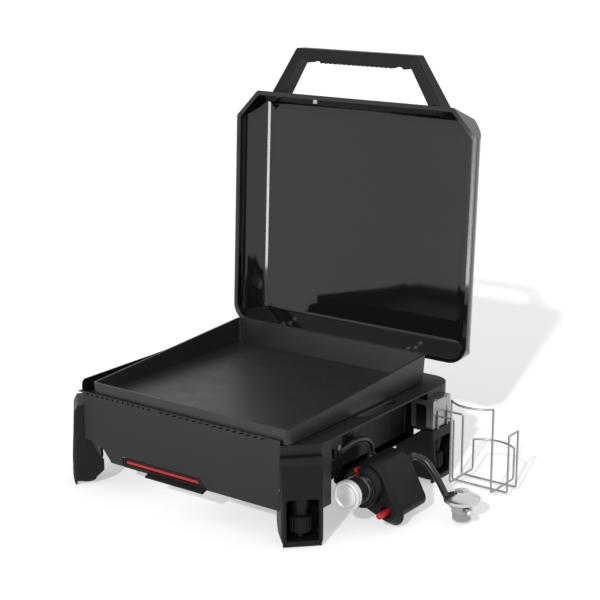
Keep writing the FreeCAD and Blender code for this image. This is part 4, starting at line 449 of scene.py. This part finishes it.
finishes["ceramic"] = grained_finish(
    "ceramic", (0.84, 0.82, 0.76), 0.0008, 0.00001, (0.25, 0.4), patch=0.01, dust=0.02)
print(len(finishes), "grained finishes")

# %% [markdown]
# The cooking plate is the heart of the object. New seasoned steel is a dark
# grey that is neither paint nor bare metal: oil baked on in thin uneven coats.
# So its colour drifts between two dark brown-greys in patches as wide as a
# palm, its gloss drifts in smaller patches, and a fine grain breaks up what it
# reflects.

# %% Seasoned steel


def make_seasoned_steel():
    """Dark baked-on oil over rolled steel."""
    material, tree, shader = new_finish("seasoned_plate", (0.018, 0.0175, 0.017), specular=0.38)
    patches = place_group(tree, slow_drift, Patch=0.11, Low=0.0, High=1.0)
    gloss = place_group(tree, slow_drift, Patch=0.035, Low=0.36, High=0.46)
    grain = place_group(tree, fine_grain, Cell=0.0011, Height=0.00003)
    blend = tree.nodes.new("ShaderNodeMix")
    blend.data_type = "RGBA"
    blend.inputs["A"].default_value = (0.012, 0.0118, 0.0115, 1.0)
    blend.inputs["B"].default_value = (0.022, 0.0212, 0.0205, 1.0)
    tree.links.new(patches.outputs["Value"], blend.inputs["Factor"])
    tree.links.new(blend.outputs["Result"], shader.inputs["Base Color"])
    tree.links.new(gloss.outputs["Value"], shader.inputs["Roughness"])
    tree.links.new(grain.outputs["Normal"], shader.inputs["Normal"])
    return material


finishes["seasoned_plate"] = make_seasoned_steel()
print("seasoned steel ready")

# %% [markdown]
# Bare metals differ in how they were worked. Chrome is polished and only its
# gloss drifts. Zinc-plated sheet, burner tube and tray keep fine lines from
# rolling or brushing. The brass fittings are nickel-plated, so only a warm
# tint is left of the brass.

# %% Bare metals


def polished_metal(name, colour, gloss, patch):
    """A smooth metal whose gloss drifts a little."""
    material, tree, shader = new_finish(name, colour, metallic=1.0)
    drift = place_group(tree, slow_drift, Patch=patch, Low=gloss[0], High=gloss[1])
    tree.links.new(drift.outputs["Value"], shader.inputs["Roughness"])
    return material


def brushed_metal(name, colour, squeeze, gloss, height):
    """A metal with fine parallel lines."""
    material, tree, shader = new_finish(name, colour, metallic=1.0)
    lines = place_group(tree, brushed_lines, Squeeze=squeeze, Low=gloss[0], High=gloss[1], Height=height)
    tree.links.new(lines.outputs["Roughness"], shader.inputs["Roughness"])
    tree.links.new(lines.outputs["Normal"], shader.inputs["Normal"])
    return material


finishes["chrome_trim"] = polished_metal("chrome_trim", (0.60, 0.60, 0.61), (0.20, 0.27), 0.012)
finishes["brass_fittings"] = polished_metal("brass_fittings", (0.66, 0.64, 0.58), (0.24, 0.36), 0.006)
BRUSHED = {
    "zinc_steel": ((0.34, 0.34, 0.345), (150.0, 150.0, 11.0), (0.30, 0.38), 0.000001),
    "burner_steel": ((0.42, 0.40, 0.37), (50.0, 900.0, 900.0), (0.30, 0.48), 0.00001),
    "tray_aluminium": ((0.58, 0.58, 0.59), (40.0, 900.0, 900.0), (0.28, 0.42), 0.00001),
}
for name, (colour, squeeze, gloss, height) in BRUSHED.items():
    finishes[name] = brushed_metal(name, colour, squeeze, gloss, height)
print(len(finishes), "finishes in all")

# %% [markdown]
# ## Dressing the CAD nodes
# The record says which finish each node has. A CAD node keeps its own mesh,
# so all that changes is the material in its slots.

# %% Put the finishes on
slot_of = {part["node"]: part["material_slot"] for part in frame["record"]["subparts"]}


def dress(node_name, finish):
    """Gives every material slot of a CAD node one finish."""
    mesh = nodes[node_name].data
    mesh.materials.clear()
    mesh.materials.append(finish)


for node_name, slot_name in slot_of.items():
    dress(node_name, finishes[slot_name])
print("dressed", len(slot_of), "nodes")

# %% [markdown]
# ## The two hoses
# A rubber hose is a fixed length of something that bends. Its line is one
# smooth spline through the air, with the same control points as the CAD
# route, and a round bevel gives it its thickness. The first hose feeds the
# burner from the valve, the second joins the valve to the regulator.

# %% Hoses on one smooth spline each
HOSE_DIAMETER = 0.012
GAS_HOSE_ROUTE = [
    (0.1661, -0.1674, 0.12), (0.1661, -0.1434, 0.12), (0.1671, -0.1134, 0.127), (0.1696, -0.0819, 0.127),
    (0.1696, -0.0559, 0.12), (0.1696, -0.0439, 0.102), (0.1696, -0.0439, 0.08),
]
REGULATOR_HOSE_ROUTE = [
    (0.2351, -0.0264, 0.0915), (0.2351, -0.0114, 0.0915), (0.2511, -0.0004, 0.0845),
    (0.2711, -0.0024, 0.0665), (0.2901, -0.0104, 0.0505), (0.3051, -0.0184, 0.0365),
    (0.3181, -0.0244, 0.0305),
]


def make_hose(name, route):
    """A round hose along a smooth curve that starts and ends on the route's ends."""
    curve = bpy.data.curves.new(name, "CURVE")
    curve.dimensions = "3D"
    curve.resolution_u = 24
    curve.bevel_depth = HOSE_DIAMETER / 2
    curve.bevel_resolution = 10
    curve.use_fill_caps = True
    spline = curve.splines.new("NURBS")
    spline.points.add(len(route) - 1)
    for point, place in zip(spline.points, route):
        point.co = (*place, 1.0)
    spline.order_u = 3
    spline.use_endpoint_u = True
    spline.use_smooth = True
    hose = bpy.data.objects.new(name, curve)
    bpy.context.scene.collection.objects.link(hose)
    curve.materials.append(finishes["hose_rubber"])
    return hose


gas_hose = make_hose("bent_gas_hose", GAS_HOSE_ROUTE)
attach(gas_hose, "housing")
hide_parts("gas_hose")
regulator_hose = make_hose("bent_regulator_hose", REGULATOR_HOSE_ROUTE)
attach(regulator_hose, "housing")
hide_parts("regulator_hose")

# %% [markdown]
# ## Small repeated things with Geometry Nodes
# Screws, grip teeth and rolled beads repeat or follow a path, so each is one
# small tree with its sizes as named inputs. The tree runs once on a carrier
# mesh that holds only places. Its result is then kept as a plain mesh, because
# a plain mesh is all that an export can take along.

# %% Helpers for Geometry Nodes trees


def new_modifier_tree(name, sizes):
    """A Geometry Nodes tree that takes a geometry and named sizes; returns it with its two end nodes."""
    tree = bpy.data.node_groups.new(name, "GeometryNodeTree")
    tree.interface.new_socket("Geometry", in_out="INPUT", socket_type="NodeSocketGeometry")
    for label, kind, value in sizes:
        socket = tree.interface.new_socket(label, in_out="INPUT", socket_type=kind)
        if value is not None:
            socket.default_value = value
    tree.interface.new_socket("Geometry", in_out="OUTPUT", socket_type="NodeSocketGeometry")
    return tree, tree.nodes.new("NodeGroupInput"), tree.nodes.new("NodeGroupOutput")


def add_node(tree, kind, inputs=None, **settings):
    """A node with its settings; each input, by name or number, takes a socket or a plain value."""
    node = tree.nodes.new(kind)
    for label, value in settings.items():
        setattr(node, label, value)
    for label, value in (inputs or {}).items():
        if isinstance(value, bpy.types.NodeSocket):
            tree.links.new(value, node.inputs[label])
        else:
            node.inputs[label].default_value = value
    return node


def close_tree(tree, end, shape, material):
    """Real geometry from a node's instances, in one material, as the tree's result."""
    real = add_node(tree, "GeometryNodeRealizeInstances", {"Geometry": shape.outputs[0]})
    painted = add_node(tree, "GeometryNodeSetMaterial", {"Geometry": real.outputs[0], "Material": material})
    tree.links.new(painted.outputs[0], end.inputs[0])
    return tree


def carrier_mesh(name, places, edges=(), **fields):
    """A mesh of bare points or edges, with one number or one vector for each point and field."""
    mesh = bpy.data.meshes.new(name)
    mesh.from_pydata([tuple(place) for place in places], list(edges), [])
    for field, values in fields.items():
        if isinstance(values[0], (int, float)):
            mesh.attributes.new(field, "FLOAT", "POINT").data.foreach_set("value", values)
        else:
            flat = [number for vector in values for number in vector]
            mesh.attributes.new(field, "FLOAT_VECTOR", "POINT").data.foreach_set("vector", flat)
    return mesh


def keep_mesh(name, mesh, body, crease=35):
    """A finished mesh as a piece that rides on a body."""
    mesh.name = name
    mesh.shade_smooth()
    mesh.set_sharp_from_angle(angle=math.radians(crease))
    piece = bpy.data.objects.new(name, mesh)
    bpy.context.scene.collection.objects.link(piece)
    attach(piece, body)
    print(name, len(mesh.polygons), "faces")
    return piece


def run_tree(tree, mesh, values):
    """The tree's result on a carrier mesh, as a plain mesh."""
    carrier = bpy.data.objects.new("carrier", mesh)
    bpy.context.scene.collection.objects.link(carrier)
    modifier = carrier.modifiers.new("tree", "NODES")
    modifier.node_group = tree
    for item in tree.interface.items_tree:
        if item.in_out == "INPUT" and item.name in values:
            modifier[item.identifier] = values[item.name]
    result = bpy.data.meshes.new_from_object(carrier.evaluated_get(bpy.context.evaluated_depsgraph_get()))
    bpy.data.objects.remove(carrier)
    return result


print("Geometry Nodes helpers ready")

# %% [markdown]
# ## Screws
# Twenty-four small pan-head screws hold the griddle together. A head is a
# circle swept up a short line while its radius falls off, with a cross cut out
# of its crown. The carrier's points say where each head sits, and their axis
# field says which way it looks. No two real screws stop at the same angle, so
# each is spun by a random amount from a fixed seed.

# %% A tree for pan-head screws


def make_screw_tree():
    """Pan-head screws with a cross recess, one on each point, along the point's axis field."""
    tree, start, end = new_modifier_tree("pan_head_screws", [
        ("Head Radius", "NodeSocketFloat", 0.0036), ("Head Height", "NodeSocketFloat", 0.0022),
        ("Shank Radius", "NodeSocketFloat", 0.0019), ("Shank Length", "NodeSocketFloat", 0.006),
        ("Recess Width", "NodeSocketFloat", 0.0008), ("Seed", "NodeSocketInt", 7),
        ("Metal", "NodeSocketMaterial", None)])
    radius, height = start.outputs["Head Radius"], start.outputs["Head Height"]
    top = add_node(tree, "ShaderNodeCombineXYZ", {"Z": height})
    line = add_node(tree, "GeometryNodeCurvePrimitiveLine", {"End": top.outputs[0]})
    steps = add_node(tree, "GeometryNodeResampleCurve", {"Curve": line.outputs[0], "Count": 8})
    along = add_node(tree, "GeometryNodeSplineParameter")
    fall = math_node(tree, "POWER", math_node(tree, "MULTIPLY", along.outputs["Factor"], 0.9), 4.0)
    dome = math_node(tree, "SQRT", math_node(tree, "SUBTRACT", 1.0, fall), 0.0)
    swollen = add_node(tree, "GeometryNodeSetCurveRadius", {"Curve": steps.outputs[0], "Radius": dome})
    circle = add_node(tree, "GeometryNodeCurvePrimitiveCircle", {"Resolution": 24, "Radius": radius})
    head = add_node(tree, "GeometryNodeCurveToMesh",
                    {"Curve": swollen.outputs[0], "Profile Curve": circle.outputs[0], "Fill Caps": True})
    reach = math_node(tree, "MULTIPLY", radius, 1.15)
    blades = []
    for first, second in ((reach, start.outputs["Recess Width"]), (start.outputs["Recess Width"], reach)):
        size = add_node(tree, "ShaderNodeCombineXYZ", {"X": first, "Y": second, "Z": height})
        blade = add_node(tree, "GeometryNodeMeshCube", {"Size": size.outputs[0]})
        blades.append(add_node(tree, "GeometryNodeTransform",
                               {"Geometry": blade.outputs[0], "Translation": top.outputs[0]}))
    cross = add_node(tree, "GeometryNodeMeshBoolean", operation="DIFFERENCE")
    tree.links.new(head.outputs[0], cross.inputs["Mesh 1"])
    for blade in blades:
        tree.links.new(blade.outputs[0], cross.inputs["Mesh 2"])
    shank = add_node(tree, "GeometryNodeMeshCylinder", {
        "Vertices": 12, "Radius": start.outputs["Shank Radius"], "Depth": start.outputs["Shank Length"]})
    half_down = math_node(tree, "MULTIPLY", start.outputs["Shank Length"], -0.5)
    drop = add_node(tree, "ShaderNodeCombineXYZ", {"Z": half_down})
    hung = add_node(tree, "GeometryNodeTransform",
                    {"Geometry": shank.outputs[0], "Translation": drop.outputs[0]})
    screw = add_node(tree, "GeometryNodeJoinGeometry")
    tree.links.new(cross.outputs[0], screw.inputs[0])
    tree.links.new(hung.outputs[0], screw.inputs[0])
    axis = add_node(tree, "GeometryNodeInputNamedAttribute", {"Name": "axis"}, data_type="FLOAT_VECTOR")
    aimed = add_node(tree, "FunctionNodeAlignRotationToVector",
                     {"Vector": axis.outputs["Attribute"]}, axis="Z")
    turn = add_node(tree, "FunctionNodeRandomValue", {"Seed": start.outputs["Seed"]}, data_type="FLOAT")
    turn.inputs[3].default_value = math.tau
    spin = add_node(tree, "FunctionNodeAxisAngleToRotation", {"Axis": (0, 0, 1), "Angle": turn.outputs[1]})
    spun = add_node(tree, "FunctionNodeRotateRotation",
                    {"Rotation": aimed.outputs[0], "Rotate By": spin.outputs[0]}, rotation_space="LOCAL")
    placed = add_node(tree, "GeometryNodeInstanceOnPoints", {
        "Points": start.outputs["Geometry"], "Instance": screw.outputs[0], "Rotation": spun.outputs[0]})
    return close_tree(tree, end, placed, start.outputs["Metal"])


screw_tree = make_screw_tree()
print("tree", screw_tree.name, len(screw_tree.nodes), "nodes")

# %% [markdown]
# The seats repeat the places where the CAD model has its plain screws. Each
# row gives the way that a group of heads looks, how long their shanks are, and
# where the heads sit. The handle's and the hinges' screws lean with the open
# lid, because the lid's end walls slope.

# %% Seats of all the screws
SCREW_HEAD_RADIUS = 0.0045
SCREW_SHANK_RADIUS = 0.0025
SCREW_RECESS_WIDTH = 0.0009
SCREW_SEATS = {
    "mounting_screws": ("housing", [
        ((0, 0, 1), 0.006, [(-0.30394, -0.25789, 0.172), (-0.30394, -0.07189, 0.172),
                            (-0.30394, 0.11411, 0.172)]),
        ((-0.7071, 0.7071, 0), 0.012, [(0.15782, -0.2671, 0.142), (0.18327, -0.24165, 0.142)]),
        ((0.7071, 0.7071, 0), 0.012, [(-0.32315, -0.24165, 0.142), (-0.29769, -0.2671, 0.142)]),
        ((-1, 0, 0), 0.012, [(0.19356, 0.10311, 0.142), (0.19356, 0.13911, 0.142)]),
        ((1, 0, 0), 0.012, [(-0.33344, 0.13911, 0.142), (-0.33344, 0.10311, 0.142)]),
        ((-1, 0, 0), 0.009, [(0.17406, -0.10389, 0.07), (0.17406, -0.07139, 0.07)]),
        ((1, 0, 0), 0.0035, [(0.17606, -0.15539, 0.136)]),
    ]),
    "handle_screws": ("lid", [
        ((0, -0.446, -0.895), 0.012, [(-0.25344, 0.25362, 0.64896), (-0.24394, 0.25362, 0.64896),
                                      (0.11356, 0.25362, 0.64896), (0.10406, 0.25362, 0.64896)]),
    ]),
    "hinge_screws": ("lid", [
        ((0, -0.369, 0.929), 0.0046, [(-0.22444, 0.23059, 0.19501), (-0.21144, 0.2367, 0.19744),
                                      (-0.20994, 0.25095, 0.20309), (0.07156, 0.23059, 0.19501),
                                      (0.08456, 0.2367, 0.19744), (0.08606, 0.25095, 0.20309)]),
    ]),
}


def joined_meshes(name, meshes, finish):
    """Several plain meshes as one mesh with one finish."""
    joined = bmesh.new()
    for mesh in meshes:
        joined.from_mesh(mesh)
    for face in joined.faces:
        face.material_index = 0
    result = bpy.data.meshes.new(name)
    joined.to_mesh(result)
    joined.free()
    result.materials.append(finish)
    return result


for node_name, (body, groups) in SCREW_SEATS.items():
    meshes = []
    for axis, shank, seats in groups:
        carrier = carrier_mesh("screw_seats", seats, axis=[axis] * len(seats))
        meshes.append(run_tree(screw_tree, carrier, {
            "Head Radius": SCREW_HEAD_RADIUS, "Shank Radius": SCREW_SHANK_RADIUS, "Shank Length": shank,
            "Recess Width": SCREW_RECESS_WIDTH, "Seed": len(meshes) + 3, "Metal": finishes["zinc_steel"]}))
    mesh = joined_meshes(node_name, meshes, finishes["zinc_steel"])
    screws = keep_mesh("recessed_" + node_name, mesh, body)
    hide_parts(node_name)

# %% [markdown]
# ## The handle's grip
# Fingers close round the underside of the bar, where a rubber strip has
# sixteen sharp teeth and a rounder bump near each end. It is easiest to think
# of the lid as closed while placing them: then the strip is level, and one
# turn about the hinge brings the finished mesh to the open lid.

# %% A tree for the toothed grip
HINGE = Vector((0, 0.20511, 0.160))
LID_TURN = Matrix.Rotation(math.radians(-92.4), 4, "X")
LID_OPEN = Matrix.Translation(HINGE) @ LID_TURN @ Matrix.Translation(-HINGE)
LID_RIM = 0.172
GRIP_CENTRE_X = -0.06994
GRIP_FACE_Y = -0.35979      # inner face of the bar, with the lid closed
GRIP_LOW, GRIP_HIGH = LID_RIM + 0.008, LID_RIM + 0.033
GRIP_LENGTH = 0.230
STRIP_THICKNESS = 0.0012
TEETH = 16
TOOTH_PITCH, TOOTH_BASE, TOOTH_HEIGHT = 0.0104, 0.0072, 0.0037
BUMP_FROM_MIDDLE, BUMP_BASE, BUMP_HEIGHT = 0.109, 0.0088, 0.0044


def make_teeth_tree():
    """Upright ridges, one on each point, with three or more sides and a height for each."""
    tree, start, end = new_modifier_tree("upright_teeth", [
        ("Base", "NodeSocketFloat", 0.0065), ("Height", "NodeSocketFloat", 0.0036),
        ("Length", "NodeSocketFloat", 0.025), ("Sides", "NodeSocketInt", 3),
        ("Rubber", "NodeSocketMaterial", None)])
    circle = add_node(tree, "GeometryNodeMeshCylinder",
                      {"Vertices": start.outputs["Sides"], "Radius": 1.0, "Depth": start.outputs["Length"]})
    half = math_node(tree, "MULTIPLY", start.outputs["Base"], 0.5)
    shape = add_node(tree, "ShaderNodeCombineXYZ", {"X": half, "Y": start.outputs["Height"], "Z": 1.0})
    quarter = add_node(tree, "GeometryNodeTransform",
                       {"Geometry": circle.outputs[0], "Rotation": (0, 0, math.pi / 2)})
    flat = add_node(tree, "GeometryNodeTransform",
                    {"Geometry": quarter.outputs[0], "Scale": shape.outputs[0]})
    placed = add_node(tree, "GeometryNodeInstanceOnPoints",
                      {"Points": start.outputs["Geometry"], "Instance": flat.outputs[0]})
    return close_tree(tree, end, placed, start.outputs["Rubber"])


def make_grip():
    """The strip with its teeth and two bumps, turned up with the lid."""
    tree = make_teeth_tree()
    middle = (GRIP_LOW + GRIP_HIGH) / 2
    length = GRIP_HIGH - GRIP_LOW
    rubber = finishes["grip_rubber"]
    strip_middle = GRIP_FACE_Y + STRIP_THICKNESS / 2
    teeth = [(GRIP_CENTRE_X + (i - (TEETH - 1) / 2) * TOOTH_PITCH, GRIP_FACE_Y + STRIP_THICKNESS, middle)
             for i in range(TEETH)]
    ridges = run_tree(tree, carrier_mesh("teeth", teeth), {
        "Base": TOOTH_BASE, "Height": TOOTH_HEIGHT, "Length": length, "Sides": 3, "Rubber": rubber})
    bumps = [(GRIP_CENTRE_X + side * BUMP_FROM_MIDDLE, strip_middle, middle) for side in (-1, 1)]
    mounds = run_tree(tree, carrier_mesh("bumps", bumps), {
        "Base": BUMP_BASE, "Height": BUMP_HEIGHT, "Length": length, "Sides": 20, "Rubber": rubber})
    strip = bmesh.new()
    bmesh.ops.create_cube(strip, size=1.0)
    bmesh.ops.scale(strip, vec=(GRIP_LENGTH, STRIP_THICKNESS, length), verts=strip.verts)
    bmesh.ops.translate(strip, vec=(GRIP_CENTRE_X, strip_middle, middle), verts=strip.verts)
    bmesh.ops.bevel(strip, geom=strip.edges[:], offset=0.0004, segments=2, affect="EDGES")
    strip_mesh = bpy.data.meshes.new("strip")
    strip.to_mesh(strip_mesh)
    strip.free()
    mesh = joined_meshes("toothed_grip", [ridges, mounds, strip_mesh], rubber)
    mesh.transform(LID_OPEN)
    return mesh


toothed_grip = keep_mesh("toothed_grip", make_grip(), "lid")
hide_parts("handle_grip")

# %% [markdown]
# ## Rolled edges
# Sheet steel is rarely left with a raw edge. The lid's rim is rolled into a
# small bead, and the light runs along it as one thin line. The bead is a
# circle swept along the rim. The rim has four corners cut or rounded, so each
# point of the carrier says how large its own rounding is.

# %% A tree for beads along an outline


def make_bead_tree():
    """A round bead along a closed outline whose points carry their own corner radius."""
    tree, start, end = new_modifier_tree("rolled_bead", [
        ("Bead Radius", "NodeSocketFloat", 0.0012), ("Corner Steps", "NodeSocketInt", 8),
        ("Metal", "NodeSocketMaterial", None)])
    path = add_node(tree, "GeometryNodeMeshToCurve", {"Mesh": start.outputs["Geometry"]})
    corner = add_node(tree, "GeometryNodeInputNamedAttribute", {"Name": "corner"}, data_type="FLOAT")
    rounded = add_node(tree, "GeometryNodeFilletCurve", {
        "Curve": path.outputs[0], "Radius": corner.outputs["Attribute"],
        "Count": start.outputs["Corner Steps"]}, mode="POLY")
    ring = add_node(tree, "GeometryNodeCurvePrimitiveCircle",
                    {"Resolution": 10, "Radius": start.outputs["Bead Radius"]})
    bead = add_node(tree, "GeometryNodeCurveToMesh",
                    {"Curve": rounded.outputs[0], "Profile Curve": ring.outputs[0]})
    return close_tree(tree, end, bead, start.outputs["Metal"])


bead_tree = make_bead_tree()
LID_HALF_WIDTH = 0.272
LID_FRONT, LID_REAR = -0.29479, 0.17661
CHAMFER_ALONG, CHAMFER_BACK = 0.050, 0.052


def lid_outline(inset, height):
    """The rim's outline with the lid closed, and the rounding at each corner."""
    left, right = GRIP_CENTRE_X - LID_HALF_WIDTH + inset, GRIP_CENTRE_X + LID_HALF_WIDTH - inset
    front, rear = LID_FRONT + inset, LID_REAR - inset
    cut_x, cut_y = CHAMFER_ALONG - 0.6 * inset, CHAMFER_BACK - 0.6 * inset
    places = [(left + cut_x, front, height), (right - cut_x, front, height), (right, front + cut_y, height),
              (right, rear, height), (left, rear, height), (left, front + cut_y, height)]
    return places, [0.009, 0.009, 0.007, 0.037 - inset, 0.037 - inset, 0.007]


def make_bead(name, inset, height, radius):
    """One bead on the lid, turned up with it."""
    places, corners = lid_outline(inset, height)
    loop = [(i, (i + 1) % len(places)) for i in range(len(places))]
    carrier = carrier_mesh("rim", places, loop, corner=corners)
    mesh = run_tree(bead_tree, carrier, {"Bead Radius": radius, "Metal": finishes["gloss_black_lid"]})
    mesh.transform(LID_OPEN)
    return keep_mesh(name, mesh, "lid", crease=60)


make_bead("lid_rim_bead", 0.0013, LID_RIM + 0.0010, 0.0012)
make_bead("lid_inner_bead", 0.0078, LID_RIM + 0.0018, 0.0010)

# %% [markdown]
# ## The knob's cap
# The knob is turned metal in front: a rolled edge round a slightly sunk face.
# A profile turned about the axle gives every ring at once. The face is
# spun-brushed and looks almost white from the front, so its finish is a
# half-metal paint with faint rings rather than a mirror. Whatever a maker
# would print there is left off.

# %% Turned cap with a sunk face
KNOB_AXLE = Vector((0.21506, 0, 0.070))
RINGS_PER_METRE = 2600.0


def turned_mesh(name, profile, centre, axis, steps=64):
    """A closed mesh from (radius, along) pairs turned about an axis through centre."""
    shape = bmesh.new()
    way = Vector(axis).normalized()
    side = way.orthogonal().normalized()
    other = way.cross(side)
    rings = []
    for radius, along in profile:
        base = centre + way * along
        if radius < 1e-6:
            rings.append([shape.verts.new(base)])
            continue
        ring = []
        for i in range(steps):
            angle = math.tau * i / steps
            ring.append(shape.verts.new(base + radius * (side * math.cos(angle) + other * math.sin(angle))))
        rings.append(ring)
    for near, far in zip(rings, rings[1:]):
        for i in range(steps):
            j = (i + 1) % steps
            corners = [near[i % len(near)], near[j % len(near)], far[j % len(far)], far[i % len(far)]]
            corners = [vert for k, vert in enumerate(corners) if vert not in corners[:k]]
            shape.faces.new(corners)
    bmesh.ops.recalc_face_normals(shape, faces=shape.faces)
    mesh = bpy.data.meshes.new(name)
    shape.to_mesh(mesh)
    shape.free()
    return mesh


def satin_face_finish():
    """Pale spun-brushed metal with faint rings about the knob's axle."""
    material, tree, shader = new_finish("satin_knob_face", (0.86, 0.86, 0.87), metallic=0.35, specular=0.5)
    places = add_node(tree, "ShaderNodeTexCoord")
    centred = add_node(tree, "ShaderNodeMapping", {
        "Vector": places.outputs["Object"], "Location": (-KNOB_AXLE.x, 0, -KNOB_AXLE.z)})
    flat = add_node(tree, "ShaderNodeVectorMath", {0: centred.outputs["Vector"], 1: (1, 0, 1)},
                    operation="MULTIPLY")
    radius = add_node(tree, "ShaderNodeVectorMath", {0: flat.outputs[0]}, operation="LENGTH")
    rings = math_node(tree, "MULTIPLY", radius.outputs["Value"], RINGS_PER_METRE)
    noise = add_node(tree, "ShaderNodeTexNoise", {"W": rings, "Scale": 1.0}, noise_dimensions="1D")
    gloss = add_node(tree, "ShaderNodeMapRange",
                     {"Value": noise.outputs["Fac"], "To Min": 0.30, "To Max": 0.44})
    bump = add_node(tree, "ShaderNodeBump", {"Height": noise.outputs["Fac"], "Distance": 0.00001})
    tree.links.new(gloss.outputs["Result"], shader.inputs["Roughness"])
    tree.links.new(bump.outputs["Normal"], shader.inputs["Normal"])
    return material


CAP_PROFILE = [
    (0.0, -0.1889), (0.0176, -0.1889), (0.0182, -0.1885), (0.0188, -0.1889), (0.0200, -0.1892),
    (0.0209, -0.1901), (0.0222, -0.1904), (0.0238, -0.1900), (0.0248, -0.1890), (0.0252, -0.1878),
    (0.0252, -0.1846), (0.0248, -0.1842), (0.0252, -0.1838), (0.0252, -0.1779), (0.0249, -0.1774),
    (0.0206, -0.1774), (0.0206, -0.1844), (0.0, -0.1844),
]
satin_face = satin_face_finish()
cap_mesh = turned_mesh("knob_cap", CAP_PROFILE, KNOB_AXLE, (0, 1, 0), steps=96)
cap_mesh.materials.append(satin_face)
knob_cap = keep_mesh("knob_cap", cap_mesh, "knob", crease=50)
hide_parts("knob_face")

# %% [markdown]
# A small red mark on the knob's chrome rim, just under the red mark on the
# collar, is a painted reflection of that collar mark. It is part of a ring, so
# it is bent round the axle like the rim under it.

# %% Painted red reflection on the knob's rim
RED_REFLECTION_FRONT, RED_REFLECTION_REAR = -0.1546, -0.1474
RED_REFLECTION_INNER, RED_REFLECTION_OUTER = 0.0247, 0.0257
RED_REFLECTION_FROM, RED_REFLECTION_STEP, RED_REFLECTION_STEPS = 97, 2.0, 6       # degrees round the axle


def make_painted_red_reflection():
    """A short curved bar of painted red reflection that stands a little proud of the knob's rim."""
    shape = bmesh.new()
    angles = [math.radians(RED_REFLECTION_FROM + RED_REFLECTION_STEP * i) for i in range(RED_REFLECTION_STEPS + 1)]
    rows = []
    for along in (RED_REFLECTION_FRONT, RED_REFLECTION_REAR):
        for radius in (RED_REFLECTION_INNER, RED_REFLECTION_OUTER):
            rows.append([shape.verts.new((KNOB_AXLE.x + radius * math.cos(angle), along,
                                          KNOB_AXLE.z + radius * math.sin(angle))) for angle in angles])
    low_front, high_front, low_rear, high_rear = rows
    sides = ((low_front, high_front), (high_front, high_rear), (high_rear, low_rear), (low_rear, low_front))
    for a, b in sides:
        for i in range(RED_REFLECTION_STEPS):
            shape.faces.new((a[i], a[i + 1], b[i + 1], b[i]))
    for i in (0, RED_REFLECTION_STEPS):
        shape.faces.new((low_front[i], high_front[i], high_rear[i], low_rear[i]))
    bmesh.ops.recalc_face_normals(shape, faces=shape.faces)
    mesh = bpy.data.meshes.new("knob_painted_red_reflection")
    shape.to_mesh(mesh)
    shape.free()
    # The red here is a painted reflection of the collar's red mark in the chrome rim.
    mesh.materials.append(finishes["red_plastic"])
    return mesh


keep_mesh("knob_painted_red_reflection", make_painted_red_reflection(), "knob", crease=40)

# %% [markdown]
# ## Hose sleeves
# A hose never just pushes into a hole: a moulded sleeve grips it and stops it
# from kinking. Each sleeve is a turned profile that narrows in three soft
# steps towards the free hose.

# %% A sleeve at each end that shows
SLEEVES = {
    "burner_hose_sleeve": (Vector(GAS_HOSE_ROUTE[0]), Vector((0, 1, 0))),
    "valve_hose_sleeve": (Vector(GAS_HOSE_ROUTE[-1]), Vector((0, 0, 1))),
    "module_hose_sleeve": (Vector(REGULATOR_HOSE_ROUTE[0]), Vector((0, 1, 0))),
}
SLEEVE_PROFILE = [
    (0.0061, 0.0), (0.0078, 0.0), (0.0078, 0.0035), (0.0072, 0.0042), (0.0076, 0.0049), (0.0074, 0.0082),
    (0.0069, 0.0089), (0.0072, 0.0096), (0.0069, 0.0135), (0.0064, 0.0145), (0.0061, 0.0145), (0.0061, 0.0),
]

for name, (place, way) in SLEEVES.items():
    mesh = turned_mesh(name, SLEEVE_PROFILE, place, way, steps=32)
    mesh.materials.append(finishes["hose_rubber"])
    keep_mesh(name, mesh, "housing", crease=50)
